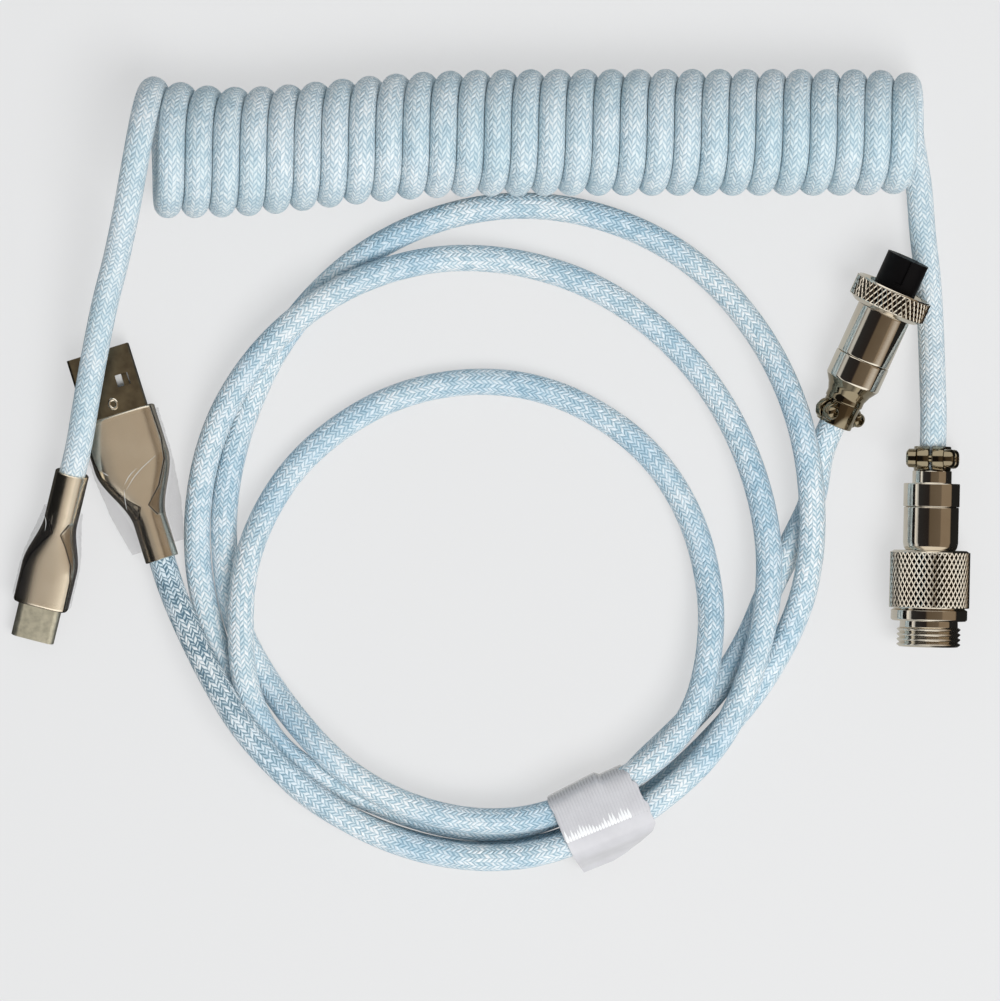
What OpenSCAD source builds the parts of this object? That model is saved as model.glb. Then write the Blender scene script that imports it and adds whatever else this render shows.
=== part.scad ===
// Coiled keyboard cable set, as it lies on a table.
// One lead is a tight coil between a USB-C plug and an inline socket with an outside thread.
// The other is a loosely looped lead between a USB-A plug and a keyed plug with a coupling nut.
// Millimetres. +X along the coil, +Y from the loops towards the coil, +Z up from the table.

/* [Cord] */
// Outside diameter of the braided cord
cord_d = 4.8; // [4:0.1:5]
// Radial play of the cord in the bores that it enters
cord_play = 0.1; // [0.05:0.05:0.3]
// Diameter of one insulated wire inside the cord
wire_d = 0.9; // [0.6:0.1:1.1]

/* [Coil] */
// Whole turns between the coil's first crest and its last
coil_turns = 28; // [20:1:29]
// Advance of the coil in one turn
coil_pitch = 5.05; // [4.9:0.05:5.2]
// Radius of the coil at the middle of its cord
coil_r = 9.4; // [9:0.1:11]
// How much wider the coil's first turn is
coil_flare = 1.4; // [0:0.1:2]
// How much narrower the coil's last turn is
coil_pinch = 0.6; // [0:0.1:1]
// Place across the table of the coil's straight part
coil_y = 63.4; // [60:0.1:70]
// Place along the table of the coil's last crest
coil_last_x = 78.5; // [76:0.1:82]
// How far the coil sags sideways near its first turns
coil_droop = 3.7; // [0:0.1:6]
// Length of the sag along the coil
coil_droop_l = 27; // [15:1:40]
// How far the first strand leans out of the coil
coil_lean = 1.2; // [0:0.1:2]

/* [Aviator shells] */
// Diameter of the back shells' rings
ring_d = 10.6; // [10:0.1:11.4]
// Diameter of the back shells' necks
neck_d = 7.4; // [7:0.1:8.4]
// Length of the cable clamps
clamp_l = 4.6; // [3.6:0.1:5]
// Width across the ears of the cable clamps
clamp_w = 10.6; // [10:0.1:11]
// Thickness of the ears of the socket's clamp
socket_ear_t = 2.4; // [2:0.1:2.6]
// Thickness of the ears of the plug's clamp
plug_ear_t = 1.3; // [1:0.1:1.6]
// Gap between the two halves of a clamp
clamp_gap = 0.5; // [0.3:0.1:0.9]
// Wall of the clamps around the cord
clamp_wall = 1; // [0.8:0.1:1.2]
// Shank diameter of the clamp screws
screw_d = 1.4; // [1.2:0.1:1.6]
// Head diameter of the clamp screws
screw_head_d = 3; // [2.6:0.1:3.2]
// Head height of the socket's clamp screws
socket_head_h = 2; // [1.6:0.1:2.2]
// Head height of the plug's clamp screws
plug_head_h = 1.2; // [0.8:0.1:1.4]
// Height of the nuts on the socket's clamp screws
clamp_nut_h = 1.8; // [1.4:0.1:2]
// Turn of the socket's clamp about its axis
socket_clamp_turn = -80; // [-90:5:90]
// Turn of the plug's clamp about its axis
plug_clamp_turn = 50; // [0:5:60]
// Diameter of the screwed joint between back shell and front shell
spigot_d = 9.3; // [9:0.1:9.6]
// Length of the screwed joint
spigot_l = 2.8; // [2:0.1:3.4]
// Radial play of the screwed joints and of the pressed inserts
joint_play = 0.05; // [0.02:0.01:0.1]
// Inside diameter of the hollow behind the contacts
hollow_d = 7.6; // [7:0.1:7.8]
// Depth of cord inside a connector
cord_depth = 6; // [5:0.1:6.4]
// Thickness of the wall that stops the cord
stop_l = 1.2; // [0.8:0.1:1.8]
// Width of the rim that stops the cord
stop_rim = 0.5; // [0.3:0.1:0.6]

/* [Inline socket] */
// Length of the socket's neck
socket_neck_l = 2.4; // [2:0.1:4]
// Length of the socket's back ring
socket_ring_l = 4.4; // [4:0.1:6]
// Length of the plain sleeve
sleeve_l = 8.2; // [8:0.1:10]
// Diameter of the plain sleeve
sleeve_d = 10.4; // [10.2:0.1:10.8]
// Diameter of the knurled barrel
barrel_d = 15.1; // [14.6:0.1:16]
// Length of the knurled barrel
barrel_l = 11; // [10:0.1:13]
// Diameter of the smooth flange
flange_d = 14.4; // [13.6:0.1:14.5]
// Length of the smooth flange
flange_l = 2.3; // [1.6:0.1:3]
// Diameter of the undercut behind the thread
undercut_d = 10.9; // [10.6:0.1:11]
// Length of the undercut behind the thread
undercut_l = 1.1; // [0.8:0.1:1.6]
// Outside diameter of the socket's thread
thread_d = 12; // [11.8:0.1:12.2]
// Length of the socket's thread
thread_l = 3.8; // [3.4:0.1:5]
// Depth of the thread between socket and coupling nut
thread_depth = 0.45; // [0.35:0.05:0.6]
// Radial play of the keyed core in the socket's mouth
mouth_play = 0.2; // [0.1:0.05:0.3]
// Depth of the socket's mouth
mouth_depth = 10; // [9:0.1:11]
// Diameter of the socket's insulator
insulator_d = 7.4; // [7:0.1:7.8]
// Length of the insulator's body behind the mouth
insulator_l = 9; // [7:0.1:9.4]
// Thickness of the insulator's front flange
insulator_flange = 1.2; // [0.8:0.1:1.6]

/* [Contacts] */
// Contacts in each aviator connector
contact_count = 4; // [3:1:5]
// Circle through the contacts
contact_circle = 4.4; // [4:0.1:4.8]
// Diameter of a socket pin
pin_d = 1; // [0.8:0.1:1.2]
// How far the pins stand out in the socket's mouth
pin_l = 4; // [3:0.1:4.4]
// Length of a solder tail behind the insulation
solder_l = 1.2; // [0.8:0.1:2]

/* [Aviator plug] */
// Length of the plug's neck
plug_neck_l = 1.2; // [1:0.1:2.6]
// Length of the cone behind the plug's back ring
plug_cone_l = 3; // [2.6:0.1:5]
// Length of the plug's back ring
plug_ring_l = 4.7; // [4:0.1:6]
// Step from the plug's front shell down to the barrel under the coupling nut
body_step = 0.2; // [0.15:0.05:0.4]
// Length of the plug's front shell up to the coupling nut
plug_body_l = 9.7; // [9:0.1:12]
// Step from the coupling nut's bore down to the barrel that it turns on
nut_step = 0.55; // [0.45:0.05:0.7]
// Radial play of the coupling nut on its barrel
nut_play = 0.05; // [0.02:0.01:0.09]
// Wall of the coupling nut outside the thread
nut_wall = 1.5; // [1.2:0.1:1.6]
// Length of the coupling nut
nut_l = 4.8; // [4.4:0.1:5.4]
// Length of the coupling nut's inner lip
nut_lip_l = 1.4; // [1:0.1:1.8]
// Chamfer on the coupling nut's rims
nut_chamfer = 0.5; // [0.2:0.1:0.8]
// End play of the coupling nut
nut_end_play = 0.15; // [0.1:0.05:0.3]
// Thickness of the snap ring that keeps the coupling nut
snap_t = 0.7; // [0.5:0.1:0.9]
// Depth of the snap ring's groove
snap_depth = 0.3; // [0.2:0.05:0.35]
// Gap between the snap ring and the coupling nut's bore
snap_rim = 0.2; // [0.1:0.05:0.25]
// Opening of the snap ring in degrees
snap_open = 50; // [30:5:80]
// Wall of the barrel round the keyed core
core_wall = 0.85; // [0.75:0.05:1]
// How far the core stands out of the coupling nut
core_out = 6.1; // [5:0.1:7]
// Length of the core behind the coupling nut's front
core_in = 10; // [8.4:0.1:11]
// Width of the key slot in the core
key_w = 1.4; // [1:0.1:1.8]
// Depth of the key slot in the core
key_depth = 0.7; // [0.5:0.1:0.8]
// Length of the key slot in the core
key_l = 5; // [3:0.1:5.5]
// Outside diameter of a contact tube in the core
tube_d = 1.5; // [1.3:0.1:1.6]
// Cover of insulation in front of the contact tubes
core_face = 1.2; // [0.8:0.1:2]

/* [USB plugs] */
// Length of the USB-A housing
usb_a_l = 28.7; // [27.5:0.1:31]
// Width of the USB-A housing at its mouth
usb_a_w = 14.5; // [14.2:0.1:15]
// Thickness of the USB-A housing at its mouth
usb_a_t = 7.8; // [7.4:0.1:8.2]
// Diameter of the USB-A collar
usb_a_collar_d = 6.4; // [6.2:0.1:7]
// Share of the USB-A housing's length that is its collar
usb_a_waist_at = 0.26; // [0.22:0.01:0.28]
// Share of the USB-A housing's length at which it is full width
usb_a_shoulder_at = 0.68; // [0.62:0.01:0.7]
// Length of USB-A shell that shows
usb_a_shell_out = 12.3; // [11:0.1:13]
// Length of USB-A shell inside its housing
usb_a_shell_in = 6; // [4:0.1:6.5]
// Width of the USB-A shell
usb_a_shell_w = 12; // [11.9:0.1:12.1]
// Thickness of the USB-A shell
usb_a_shell_t = 4.5; // [4.4:0.1:4.6]
// Length of the USB-C housing
usb_c_l = 26.3; // [25:0.1:28]
// Width of the USB-C housing at its mouth
usb_c_w = 10.5; // [10.2:0.1:10.8]
// Thickness of the USB-C housing at its mouth
usb_c_t = 6.3; // [6:0.1:6.6]
// Diameter of the USB-C collar
usb_c_collar_d = 6.4; // [6.2:0.1:6.6]
// Share of the USB-C housing's length that is its collar
usb_c_waist_at = 0.36; // [0.3:0.01:0.38]
// Share of the USB-C housing's length at which it is full width
usb_c_shoulder_at = 0.72; // [0.66:0.01:0.74]
// Length of USB-C shell that shows
usb_c_shell_out = 6.8; // [6.5:0.1:7]
// Length of USB-C shell inside its housing
usb_c_shell_in = 5; // [4:0.1:5.4]
// Width of the USB-C shell
usb_c_shell_w = 8.25; // [8.2:0.01:8.3]
// Thickness of the USB-C shell
usb_c_shell_t = 2.56; // [2.5:0.01:2.6]
// Sheet thickness of the two USB shells
shell_wall = 0.3; // [0.25:0.05:0.35]
// Play around the USB shells and the blocks in the housings
block_play = 0.1; // [0.05:0.05:0.2]
// Length of the moulded block in the USB-A housing
usb_a_block_l = 6.2; // [5:0.1:6.4]
// Length of the moulded block in the USB-C housing
usb_c_block_l = 4.8; // [4:0.1:5]
// Thickness of the moulded block in the USB-C housing
usb_c_block_t = 3.8; // [3.4:0.1:4]
// Thickness of the moulded block in the USB-A housing
usb_a_block_t = 5; // [4.6:0.1:5.2]
// Width of the moulded block in the USB-A housing
usb_a_block_w = 8.6; // [8:0.1:9]
// Width of the moulded block in the USB-C housing
usb_c_block_w = 7; // [6.6:0.1:7.2]
// Thickness of the circuit board
board_t = 0.8; // [0.6:0.1:1]
// Width of the circuit board
board_w = 6.2; // [5.6:0.1:6.4]
// Thickness of the clear films on the USB housings
film_t = 0.2; // [0.15:0.05:0.3]
// Slack of the clear films around the housings
film_slack = 0.35; // [0.3:0.05:0.5]

/* [Tie strap] */
// Width of the strap along the cords
strap_w = 15; // [12:0.5:16]
// Thickness of the strap
strap_t = 0.7; // [0.5:0.1:0.9]
// Slack of the strap around the cords
strap_slack = 0.8; // [0.7:0.1:1]
// How far the strap's free end stands out
strap_tail = 2.6; // [1:0.1:4]

/* [Hidden] */

$fn = 48;
eps = 0.01;
cord_r = cord_d / 2;
cord_bore_r = cord_r + cord_play;
wire_bore_r = cord_r - stop_rim;

// Diameters that follow from the thread between the two leads
nut_bore_d = thread_d - 2 * thread_depth;
nut_d = thread_d + 2 * nut_wall;
nut_seat_d = nut_bore_d - 2 * nut_step;
plug_body_d = nut_seat_d + 2 * body_step;
core_d = nut_seat_d - 2 * core_wall - 2 * joint_play;
mouth_d = core_d + 2 * mouth_play;
snap_d = nut_bore_d - 2 * snap_rim;

// Places of the connectors: the point where the cord enters, the heading and the climb
film_reach = film_slack + film_t;
usb_c_tilt = 12;
usb_c_rear_z = (usb_c_t / 2 + film_reach) / cos(usb_c_tilt) + usb_c_l * sin(usb_c_tilt);
usb_c_place = [[-78.6, -0.5, usb_c_rear_z], 255.5, -usb_c_tilt];
usb_a_place = [[-62, -16.8, usb_a_t / 2 + film_reach], 107.3, 0];
socket_place = [[83.5, 4.5, barrel_d / 2], -91.3, 0];
plug_place = [[64.9, 8.8, 5.6], 66, 8];

function heading(place) =
    [cos(place[2]) * cos(place[1]), cos(place[2]) * sin(place[1]), sin(place[2])];
function along(place, s) = place[0] + s * heading(place);

usb_a_waist = usb_a_waist_at * usb_a_l;
usb_a_shoulder = usb_a_shoulder_at * usb_a_l;
usb_c_waist = usb_c_waist_at * usb_c_l;
usb_c_shoulder = usb_c_shoulder_at * usb_c_l;

// Stations along the two aviator connectors, from the rear of the clamp
socket_ring_z = clamp_l + socket_neck_l;
socket_sleeve_z = socket_ring_z + socket_ring_l;
barrel_z = socket_sleeve_z + sleeve_l;
flange_z = barrel_z + barrel_l;
undercut_z = flange_z + flange_l;
thread_z = undercut_z + undercut_l;
socket_tip_z = thread_z + thread_l;
mouth_z = socket_tip_z - mouth_depth;
plug_cone_z = clamp_l + plug_neck_l;
plug_ring_z = plug_cone_z + plug_cone_l;
plug_body_z = plug_ring_z + plug_ring_l;
nut_stop_z = plug_body_z + plug_body_l;
nut_z = nut_stop_z + nut_end_play;
nut_tip_z = nut_z + nut_l;
snap_z = nut_z + nut_lip_l + nut_end_play;
core_tip_z = nut_tip_z + core_out;
core_rear_z = nut_tip_z - core_in;

function unit(v) = v / norm(v);
function smooth(t) = let (x = max(0, min(1, t))) x * x * (3 - 2 * x);

// The coil sags sideways near its first turns, which are wider, and its last turn is narrower
coil_droop_at = 13;
coil_flare_l = 10;
coil_pinch_l = 4;
function bow(x) = let (s = (x - coil_first_x - coil_droop_at) / coil_droop_l) coil_droop * exp(-s * s);
function coil_reach(x) =
    coil_r + coil_flare * exp((coil_first_x - x) / coil_flare_l)
    - coil_pinch * exp((x - coil_last_x) / coil_pinch_l);

// The coil: a helix whose angle is 0 on top, 90 at the far side and 180 on the table
coil_first_x = coil_last_x - coil_turns * coil_pitch;
coil_from = -15;
coil_to = coil_turns * 360 + 180;
coil_rings = round((coil_to - coil_from) / 45);
function coil_x(a) =
    let (early = max(0, (90 - a) / (90 - coil_from)))
    coil_first_x + coil_pitch * (a - 90) / 360 - coil_lean * early * early;
function coil_point(a) =
    let (x = coil_x(a), r = coil_reach(x))
    [x, coil_y - bow(x) + r * sin(a), cord_r + r + r * cos(a)];
function coil_heading(a) = unit(coil_point(a + 1) - coil_point(a - 1));
coil_angles = [for (i = [0:coil_rings]) coil_from + (coil_to - coil_from) * i / coil_rings];
coil_start = coil_point(coil_from) - cord_d * coil_heading(coil_from);
coil_away = unit([0.16, -1, 0]);
coil_end = coil_point(coil_to) + cord_d * coil_away;
coil_points = concat([coil_start], [for (a = coil_angles) coil_point(a)], [coil_end]);
coil_outward = [
    for (i = [0:len(coil_points) - 1])
        let (a = coil_angles[max(0, min(coil_rings, i - 1))])
        [0, sin(a), cos(a)]
];

// The looped lead round its hub: angle, reach from the hub and height at each station
hub = [1.9, -13];
loop_count = 3;
tie_angle = -70;
tie_turn = 22;
tie_inner = 51.5;
tie_outer = 58.1;
tie_tuck = 0.6;
strand_gap = 0.5;
tie_low = cord_r + strap_t + strand_gap;
tie_high = tie_low + cord_d + strand_gap;
lie = cord_r;
loop_stations = [
    [-70, tie_outer, tie_high], [-45, 56.2, 8.2], [-25, 53.1, 8], [-10, 51.4, 8],
    [20, 49.2, 4.6], [50, 49.5, lie], [80, 51.8, lie], [105, 54.4, 4.8], [132, 56.4, 8.4],
    [155, 57.5, 6.6], [170, 57.6, 4.2], [182, 57.6, lie], [200, 57.6, lie], [216, 59, lie],
    [230, 60.6, lie], [250, 60.4, lie], [270, 59.9, 2.5],
    [290, tie_outer - tie_tuck, tie_low], [315, 55.5, 2.7], [335, 56.7, 2.9], [350, 58.2, 6],
    [366, 59.1, 8.9], [380, 60.4, 9], [396, 62.1, 5.6], [418, 63.9, 2.8], [445, 63.4, lie],
    [470, 60.5, lie], [494, 56.5, lie], [515, 53.6, lie], [540, 52, lie], [560, 51.8, lie],
    [572, 51.4, 2.7], [582, 51.5, 6.4], [590, 51.9, 8.8], [602, 52.7, 9], [630, 53.2, 8.1],
    [650, tie_inner, tie_high], [675, 49.4, 8.2], [695, 43.8, 7], [715, 38.6, 4], [740, 33.9, lie],
    [770, 30.2, lie], [800, 29.4, lie], [830, 31.1, lie], [860, 35.8, lie], [885, 42.2, 3.4],
    [905, 47.9, 7.2], [920, 52, 7.9], [932, 55.8, 7.5], [942, 57.2, 7.2], [949, 56.9, 6.5],
    [956, 55.7, 5.1], [966, 54.7, 3.1], [990, 54.5, 2.5],
    [1010, tie_inner + tie_tuck, tie_low]
];
last_station = len(loop_stations) - 1;
function station_slope(i) =
    let (a = loop_stations[max(0, i - 1)], b = loop_stations[min(last_station, i + 1)])
    (b - a) / (b[0] - a[0]);
function station_before(a) =
    max([for (i = [0:last_station - 1]) if (i == 0 || loop_stations[i][0] <= a) i]);
function loop_station(a) =
    let (
        i = station_before(a),
        p = loop_stations[i],
        q = loop_stations[i + 1],
        h = q[0] - p[0],
        t = (a - p[0]) / h
    )
    p * (1 + 2 * t) * (1 - t) * (1 - t) + q * t * t * (3 - 2 * t)
    + station_slope(i) * h * t * (1 - t) * (1 - t) - station_slope(i + 1) * h * t * t * (1 - t);
function loop_point(a) =
    let (s = loop_station(a))
    [hub[0] + s[1] * cos(a), hub[1] + s[1] * sin(a), max(lie, s[2])];
tie_heading = [cos(tie_turn), sin(tie_turn), 0];
loop_from = tie_angle;
loop_to = tie_angle + 360 * loop_count;
trace_step = 6;
loop_rings = 36 * loop_count;
loop_start = loop_point(loop_from);
loop_end = loop_point(loop_to);
loop_points = concat(
    [loop_start, loop_start + cord_d * tie_heading],
    [for (i = [1:loop_rings - 1]) loop_point(loop_from + (loop_to - loop_from) * i / loop_rings)],
    [loop_end - cord_d * tie_heading, loop_end]
);

// Routes of the plain stretches of cord, from each connector
keyboard_tail = [
    along(usb_c_place, cord_depth), along(usb_c_place, -5),
    [-76, 11.5, 11.8], [-74.2, 21, 13.6], [-72, 31, 15.8], [-69.6, 40, 17.6],
    coil_start - cord_d * coil_heading(coil_from), coil_start
];
socket_tail = [
    coil_end, coil_end + cord_d * coil_away, [82, 45, cord_r], [83, 36, cord_r],
    [83.5, 27, 2.8], [83.6, 18, 5.4], along(socket_place, -6), along(socket_place, cord_depth)
];
host_run = [
    along(usb_a_place, cord_depth), along(usb_a_place, -5),
    [-58.4, -26.7, 5.8], [-55.5, -32.8, 7.6], [-51.3, -40.6, 9.8], [-46.5, -48, 11.7],
    [-40.4, -55, 12], [-32.4, -61.9, 10], [-23.5, -67.4, 8.6], [-12.7, -71.4, 8.5],
    [-1.5, -73, 8.5], [8.5, -72.2, 8.6], loop_start - cord_d * tie_heading, loop_start
];
plug_tail = [
    loop_end, loop_end + cord_d * tie_heading, [30, -54.7, 2.7], [37.1, -47.9, lie],
    [43.5, -40.7, lie], [48.9, -32, lie], [53, -22.6, lie], [57.4, -13.6, lie],
    [61, -5.8, lie], along(plug_place, -5), along(plug_place, cord_depth)
];

// A closed skin of triangles over rings of points, first ring to last
module skin(rings) {
    n = len(rings[0]);
    m = len(rings);
    top = n * (m - 1);
    polyhedron(
        points = [for (r = rings) each r],
        faces = concat(
            [for (j = [1:n - 2]) [0, j, j + 1]],
            [for (j = [1:n - 2]) [top, top + j + 1, top + j]],
            [
                for (i = [0:m - 2], j = [0:n - 1])
                    let (a = i * n + j, b = i * n + (j + 1) % n)
                    each [[a, a + n, b + n], [a, b + n, b]]
            ]
        ),
        convexity = 8
    );
}

function route_heading(p, i) =
    i == 0 ? unit(p[1] - p[0])
    : i == len(p) - 1 ? unit(p[i] - p[i - 1])
    : unit(unit(p[i + 1] - p[i]) + unit(p[i] - p[i - 1]));
function cord_rings(p, outward, sides) = [
    for (i = [0:len(p) - 1])
        let (
            t = route_heading(p, i),
            o = is_list(outward[0]) ? outward[i] : outward,
            u = unit(o - (o * t) * t),
            v = cross(t, u)
        )
        [for (j = [0:sides - 1]) let (a = 360 * j / sides) p[i] + cord_r * (cos(a) * u + sin(a) * v)]
];
coil_skin = cord_rings(coil_points, coil_outward, 6);
loop_skin = cord_rings(loop_points, [0, 0, 1], 6);

// Least gaps: between neighbouring turns of the coil, and between strands of the looped lead
coil_gap = min([
    for (i = [0:len(coil_skin) - 7], k = [6:10])
        if (i + k < len(coil_skin)) for (p = coil_skin[i], q = coil_skin[i + k]) norm(p - q)
]);
loop_trace = [for (a = [loop_from:trace_step:loop_to]) loop_point(a)];
loop_gap = min([
    for (i = [0:len(loop_trace) - 1], k = [i + 30:1:len(loop_trace) - 1])
        norm(loop_trace[i] - loop_trace[k])
]) - cord_d;
echo(coil_gap = coil_gap, loop_gap = loop_gap);

module put(place) {
    translate(place[0]) rotate([0, 90 - place[2], place[1]]) children();
}

module tube(d, bore, z, l) {
    translate([0, 0, z]) difference() {
        cylinder(d = d, h = l);
        translate([0, 0, -eps]) cylinder(d = bore, h = l + 2 * eps);
    }
}

module rod(d, z, l) {
    translate([0, 0, z]) cylinder(d = d, h = l);
}

// A rounded rectangle, thickness along x and width along y
module rounded(t, w, r) {
    union() {
        square([t - 2 * r, w], center = true);
        square([t, w - 2 * r], center = true);
        for (x = [-1, 1], y = [-1, 1])
            translate([x * (t / 2 - r), y * (w / 2 - r)]) circle(r);
    }
}

module bar(t, w, r, z, l) {
    translate([0, 0, z]) linear_extrude(l) rounded(t, w, r);
}

// The cords
module keyboard_tail_cord() color("lightblue") skin(cord_rings(keyboard_tail, [0, 0, 1], 10));
module coil_cord() color("lightblue") skin(coil_skin);
module socket_tail_cord() color("lightblue") skin(cord_rings(socket_tail, [0, 0, 1], 10));
module host_run_cord() color("lightblue") skin(cord_rings(host_run, [0, 0, 1], 10));
module host_loops() color("lightblue") skin(loop_skin);
module plug_tail_cord() color("lightblue") skin(cord_rings(plug_tail, [0, 0, 1], 10));

// Cable clamps: one half is part of the back shell, the saddle is the other half
clamp_d = 2 * (cord_bore_r + clamp_wall);
ear_mid = (clamp_w + clamp_d) / 4 - 0.2;
ear_inset = 0.4;
ear_l = clamp_l - 2 * ear_inset;
ear_r = ear_l / 2;
screw_play = 0.1;
screw_out = 0.3;

module half_clamp(side, turn, ear_t) {
    rotate([0, 0, turn]) difference() {
        union() {
            rod(clamp_d, 0, clamp_l);
            translate([side > 0 ? clamp_gap / 2 : -clamp_gap / 2 - ear_t, 0, clamp_l / 2]) {
                translate([0, ear_r - clamp_w / 2, -ear_r]) cube([ear_t, clamp_w - ear_l, ear_l]);
                for (y = [ear_r - clamp_w / 2, clamp_w / 2 - ear_r])
                    translate([0, y, 0]) rotate([0, 90, 0]) cylinder(r = ear_r, h = ear_t);
            }
        }
        translate([side > 0 ? clamp_gap / 2 - clamp_w : -clamp_gap / 2, -clamp_w, -1])
            cube([clamp_w, 2 * clamp_w, clamp_l + 2]);
        translate([0, 0, -eps]) cylinder(r = cord_bore_r, h = clamp_l + 2 * eps);
        for (y = [-ear_mid, ear_mid])
            translate([side * clamp_gap / 2, y, clamp_l / 2]) rotate([0, side * 90, 0]) {
                translate([0, 0, -eps]) cylinder(d = screw_d + 2 * screw_play, h = ear_t + 2 * eps);
                translate([0, 0, ear_t]) cylinder(d = screw_head_d + 2 * screw_play, h = clamp_d);
            }
    }
}

module clamp_screws(turn, ear_t, head_h, nut_h) {
    grip = 2 * ear_t + clamp_gap;
    rotate([0, 0, turn]) for (y = [-ear_mid, ear_mid])
        translate([-grip / 2, y, clamp_l / 2]) rotate([0, 90, 0]) {
            translate([0, 0, -head_h]) cylinder(d = screw_head_d, h = head_h);
            translate([0, 0, -eps]) cylinder(d = screw_d, h = grip + screw_out + 2 * eps);
            if (nut_h > 0) translate([0, 0, grip]) cylinder(d = screw_head_d, h = nut_h, $fn = 8);
        }
}

// The bore of a back shell: cord, stop wall and the hollow for the wires
module back_bore(l) {
    rod(2 * cord_bore_r, clamp_l - eps, cord_depth - clamp_l + eps);
    rod(2 * wire_bore_r, cord_depth - eps, stop_l + 2 * eps);
    rod(hollow_d, cord_depth + stop_l, l);
}

function on_circle(d, i) =
    let (a = 360 * (i + 0.5) / contact_count) [d / 2 * cos(a), d / 2 * sin(a)];

// Straight wires that spread from the end of the cord to the contacts
wire_end_gap = 0.1;
module wires(to_z) {
    for (i = [0:contact_count - 1]) {
        p = concat(on_circle(1.1 * wire_d / sin(180 / contact_count), i), [cord_depth + wire_end_gap]);
        q = concat(on_circle(contact_circle, i), [to_z - wire_end_gap]);
        d = q - p;
        translate(p) rotate([0, acos(d[2] / norm(d)), atan2(d[1], d[0])])
            cylinder(d = wire_d, h = norm(d));
    }
}

// The inline socket
module socket_back_shell() color("silver") put(socket_place) {
    half_clamp(1, socket_clamp_turn, socket_ear_t);
    difference() {
        union() {
            rod(neck_d, clamp_l, socket_neck_l);
            rod(ring_d, socket_ring_z, socket_ring_l);
            rod(spigot_d, socket_sleeve_z, spigot_l);
        }
        back_bore(socket_sleeve_z + spigot_l);
    }
}

module socket_clamp_saddle() color("silver") put(socket_place)
    half_clamp(-1, socket_clamp_turn, socket_ear_t);
module socket_clamp_screws() color("gainsboro") put(socket_place)
    clamp_screws(socket_clamp_turn, socket_ear_t, socket_head_h, clamp_nut_h);

module socket_sleeve() color("silver") put(socket_place)
    tube(sleeve_d, spigot_d + 2 * joint_play, socket_sleeve_z, sleeve_l);

module socket_barrel() color("silver") put(socket_place) difference() {
    union() {
        rod(spigot_d, barrel_z - spigot_l, spigot_l);
        rod(barrel_d, barrel_z, barrel_l);
        rod(flange_d, flange_z, flange_l);
        rod(undercut_d, undercut_z, undercut_l);
        rod(thread_d, thread_z, thread_l);
    }
    rod(insulator_d + 2 * joint_play, barrel_z - spigot_l - 1, socket_tip_z);
    rod(mouth_d, mouth_z, mouth_depth + 1);
}

module socket_insulator() color("dimgray") put(socket_place) difference() {
    union() {
        rod(insulator_d, mouth_z - insulator_l, insulator_l);
        rod(mouth_d - 2 * joint_play, mouth_z, insulator_flange);
    }
    for (i = [0:contact_count - 1])
        translate(on_circle(contact_circle, i))
            rod(pin_d + 2 * joint_play, mouth_z - insulator_l - 1, insulator_l + insulator_flange + 2);
}

pin_rear_z = mouth_z - insulator_l - solder_l;
module socket_pins() color("gold") put(socket_place)
    for (i = [0:contact_count - 1])
        translate(on_circle(contact_circle, i))
            rod(pin_d, pin_rear_z, solder_l + insulator_l + insulator_flange + pin_l);

module socket_wires() color("firebrick") put(socket_place) wires(pin_rear_z);

// The keyed plug and its coupling nut
plug_spigot_d = spigot_d - 0.4;
snap_play = 0.05;
pin_play = 0.05;
module plug_back_shell() color("silver") put(plug_place) {
    half_clamp(1, plug_clamp_turn, plug_ear_t);
    difference() {
        union() {
            rod(neck_d, clamp_l, plug_neck_l);
            translate([0, 0, plug_cone_z]) cylinder(d1 = neck_d, d2 = ring_d, h = plug_cone_l);
            rod(ring_d, plug_ring_z, plug_ring_l);
            rod(plug_spigot_d, plug_body_z, spigot_l);
        }
        back_bore(plug_body_z + spigot_l);
    }
}

module plug_clamp_saddle() color("silver") put(plug_place)
    half_clamp(-1, plug_clamp_turn, plug_ear_t);
module plug_clamp_screws() color("gainsboro") put(plug_place)
    clamp_screws(plug_clamp_turn, plug_ear_t, plug_head_h, 0);

module plug_body() color("silver") put(plug_place) difference() {
    union() {
        rod(plug_body_d, plug_body_z, plug_body_l);
        rod(nut_seat_d, nut_stop_z, nut_tip_z - nut_stop_z);
    }
    rod(plug_spigot_d + 2 * joint_play, plug_body_z - 1, spigot_l + 1.4);
    rod(core_d + 2 * joint_play, plug_body_z, core_tip_z);
    tube(nut_seat_d + 1, nut_seat_d - 2 * snap_depth, snap_z, snap_t + 2 * snap_play);
}

module snap_ring() color("gray") put(plug_place) difference() {
    tube(snap_d, nut_seat_d - 2 * snap_depth + 2 * joint_play, snap_z + snap_play, snap_t);
    translate([0, 0, snap_z - 1]) linear_extrude(snap_t + 2)
        polygon([[0, 0], nut_d * [cos(snap_open / 2), sin(snap_open / 2)],
                 nut_d * [cos(snap_open / 2), -sin(snap_open / 2)]]);
}

module coupling_nut() color("silver") put(plug_place)
    translate([0, 0, nut_z]) rotate_extrude() polygon([
        [nut_seat_d / 2 + nut_play, 0], [nut_d / 2 - nut_chamfer, 0], [nut_d / 2, nut_chamfer],
        [nut_d / 2, nut_l - nut_chamfer], [nut_d / 2 - nut_chamfer, nut_l],
        [nut_bore_d / 2, nut_l], [nut_bore_d / 2, nut_lip_l], [nut_seat_d / 2 + nut_play, nut_lip_l]
    ]);

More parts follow.
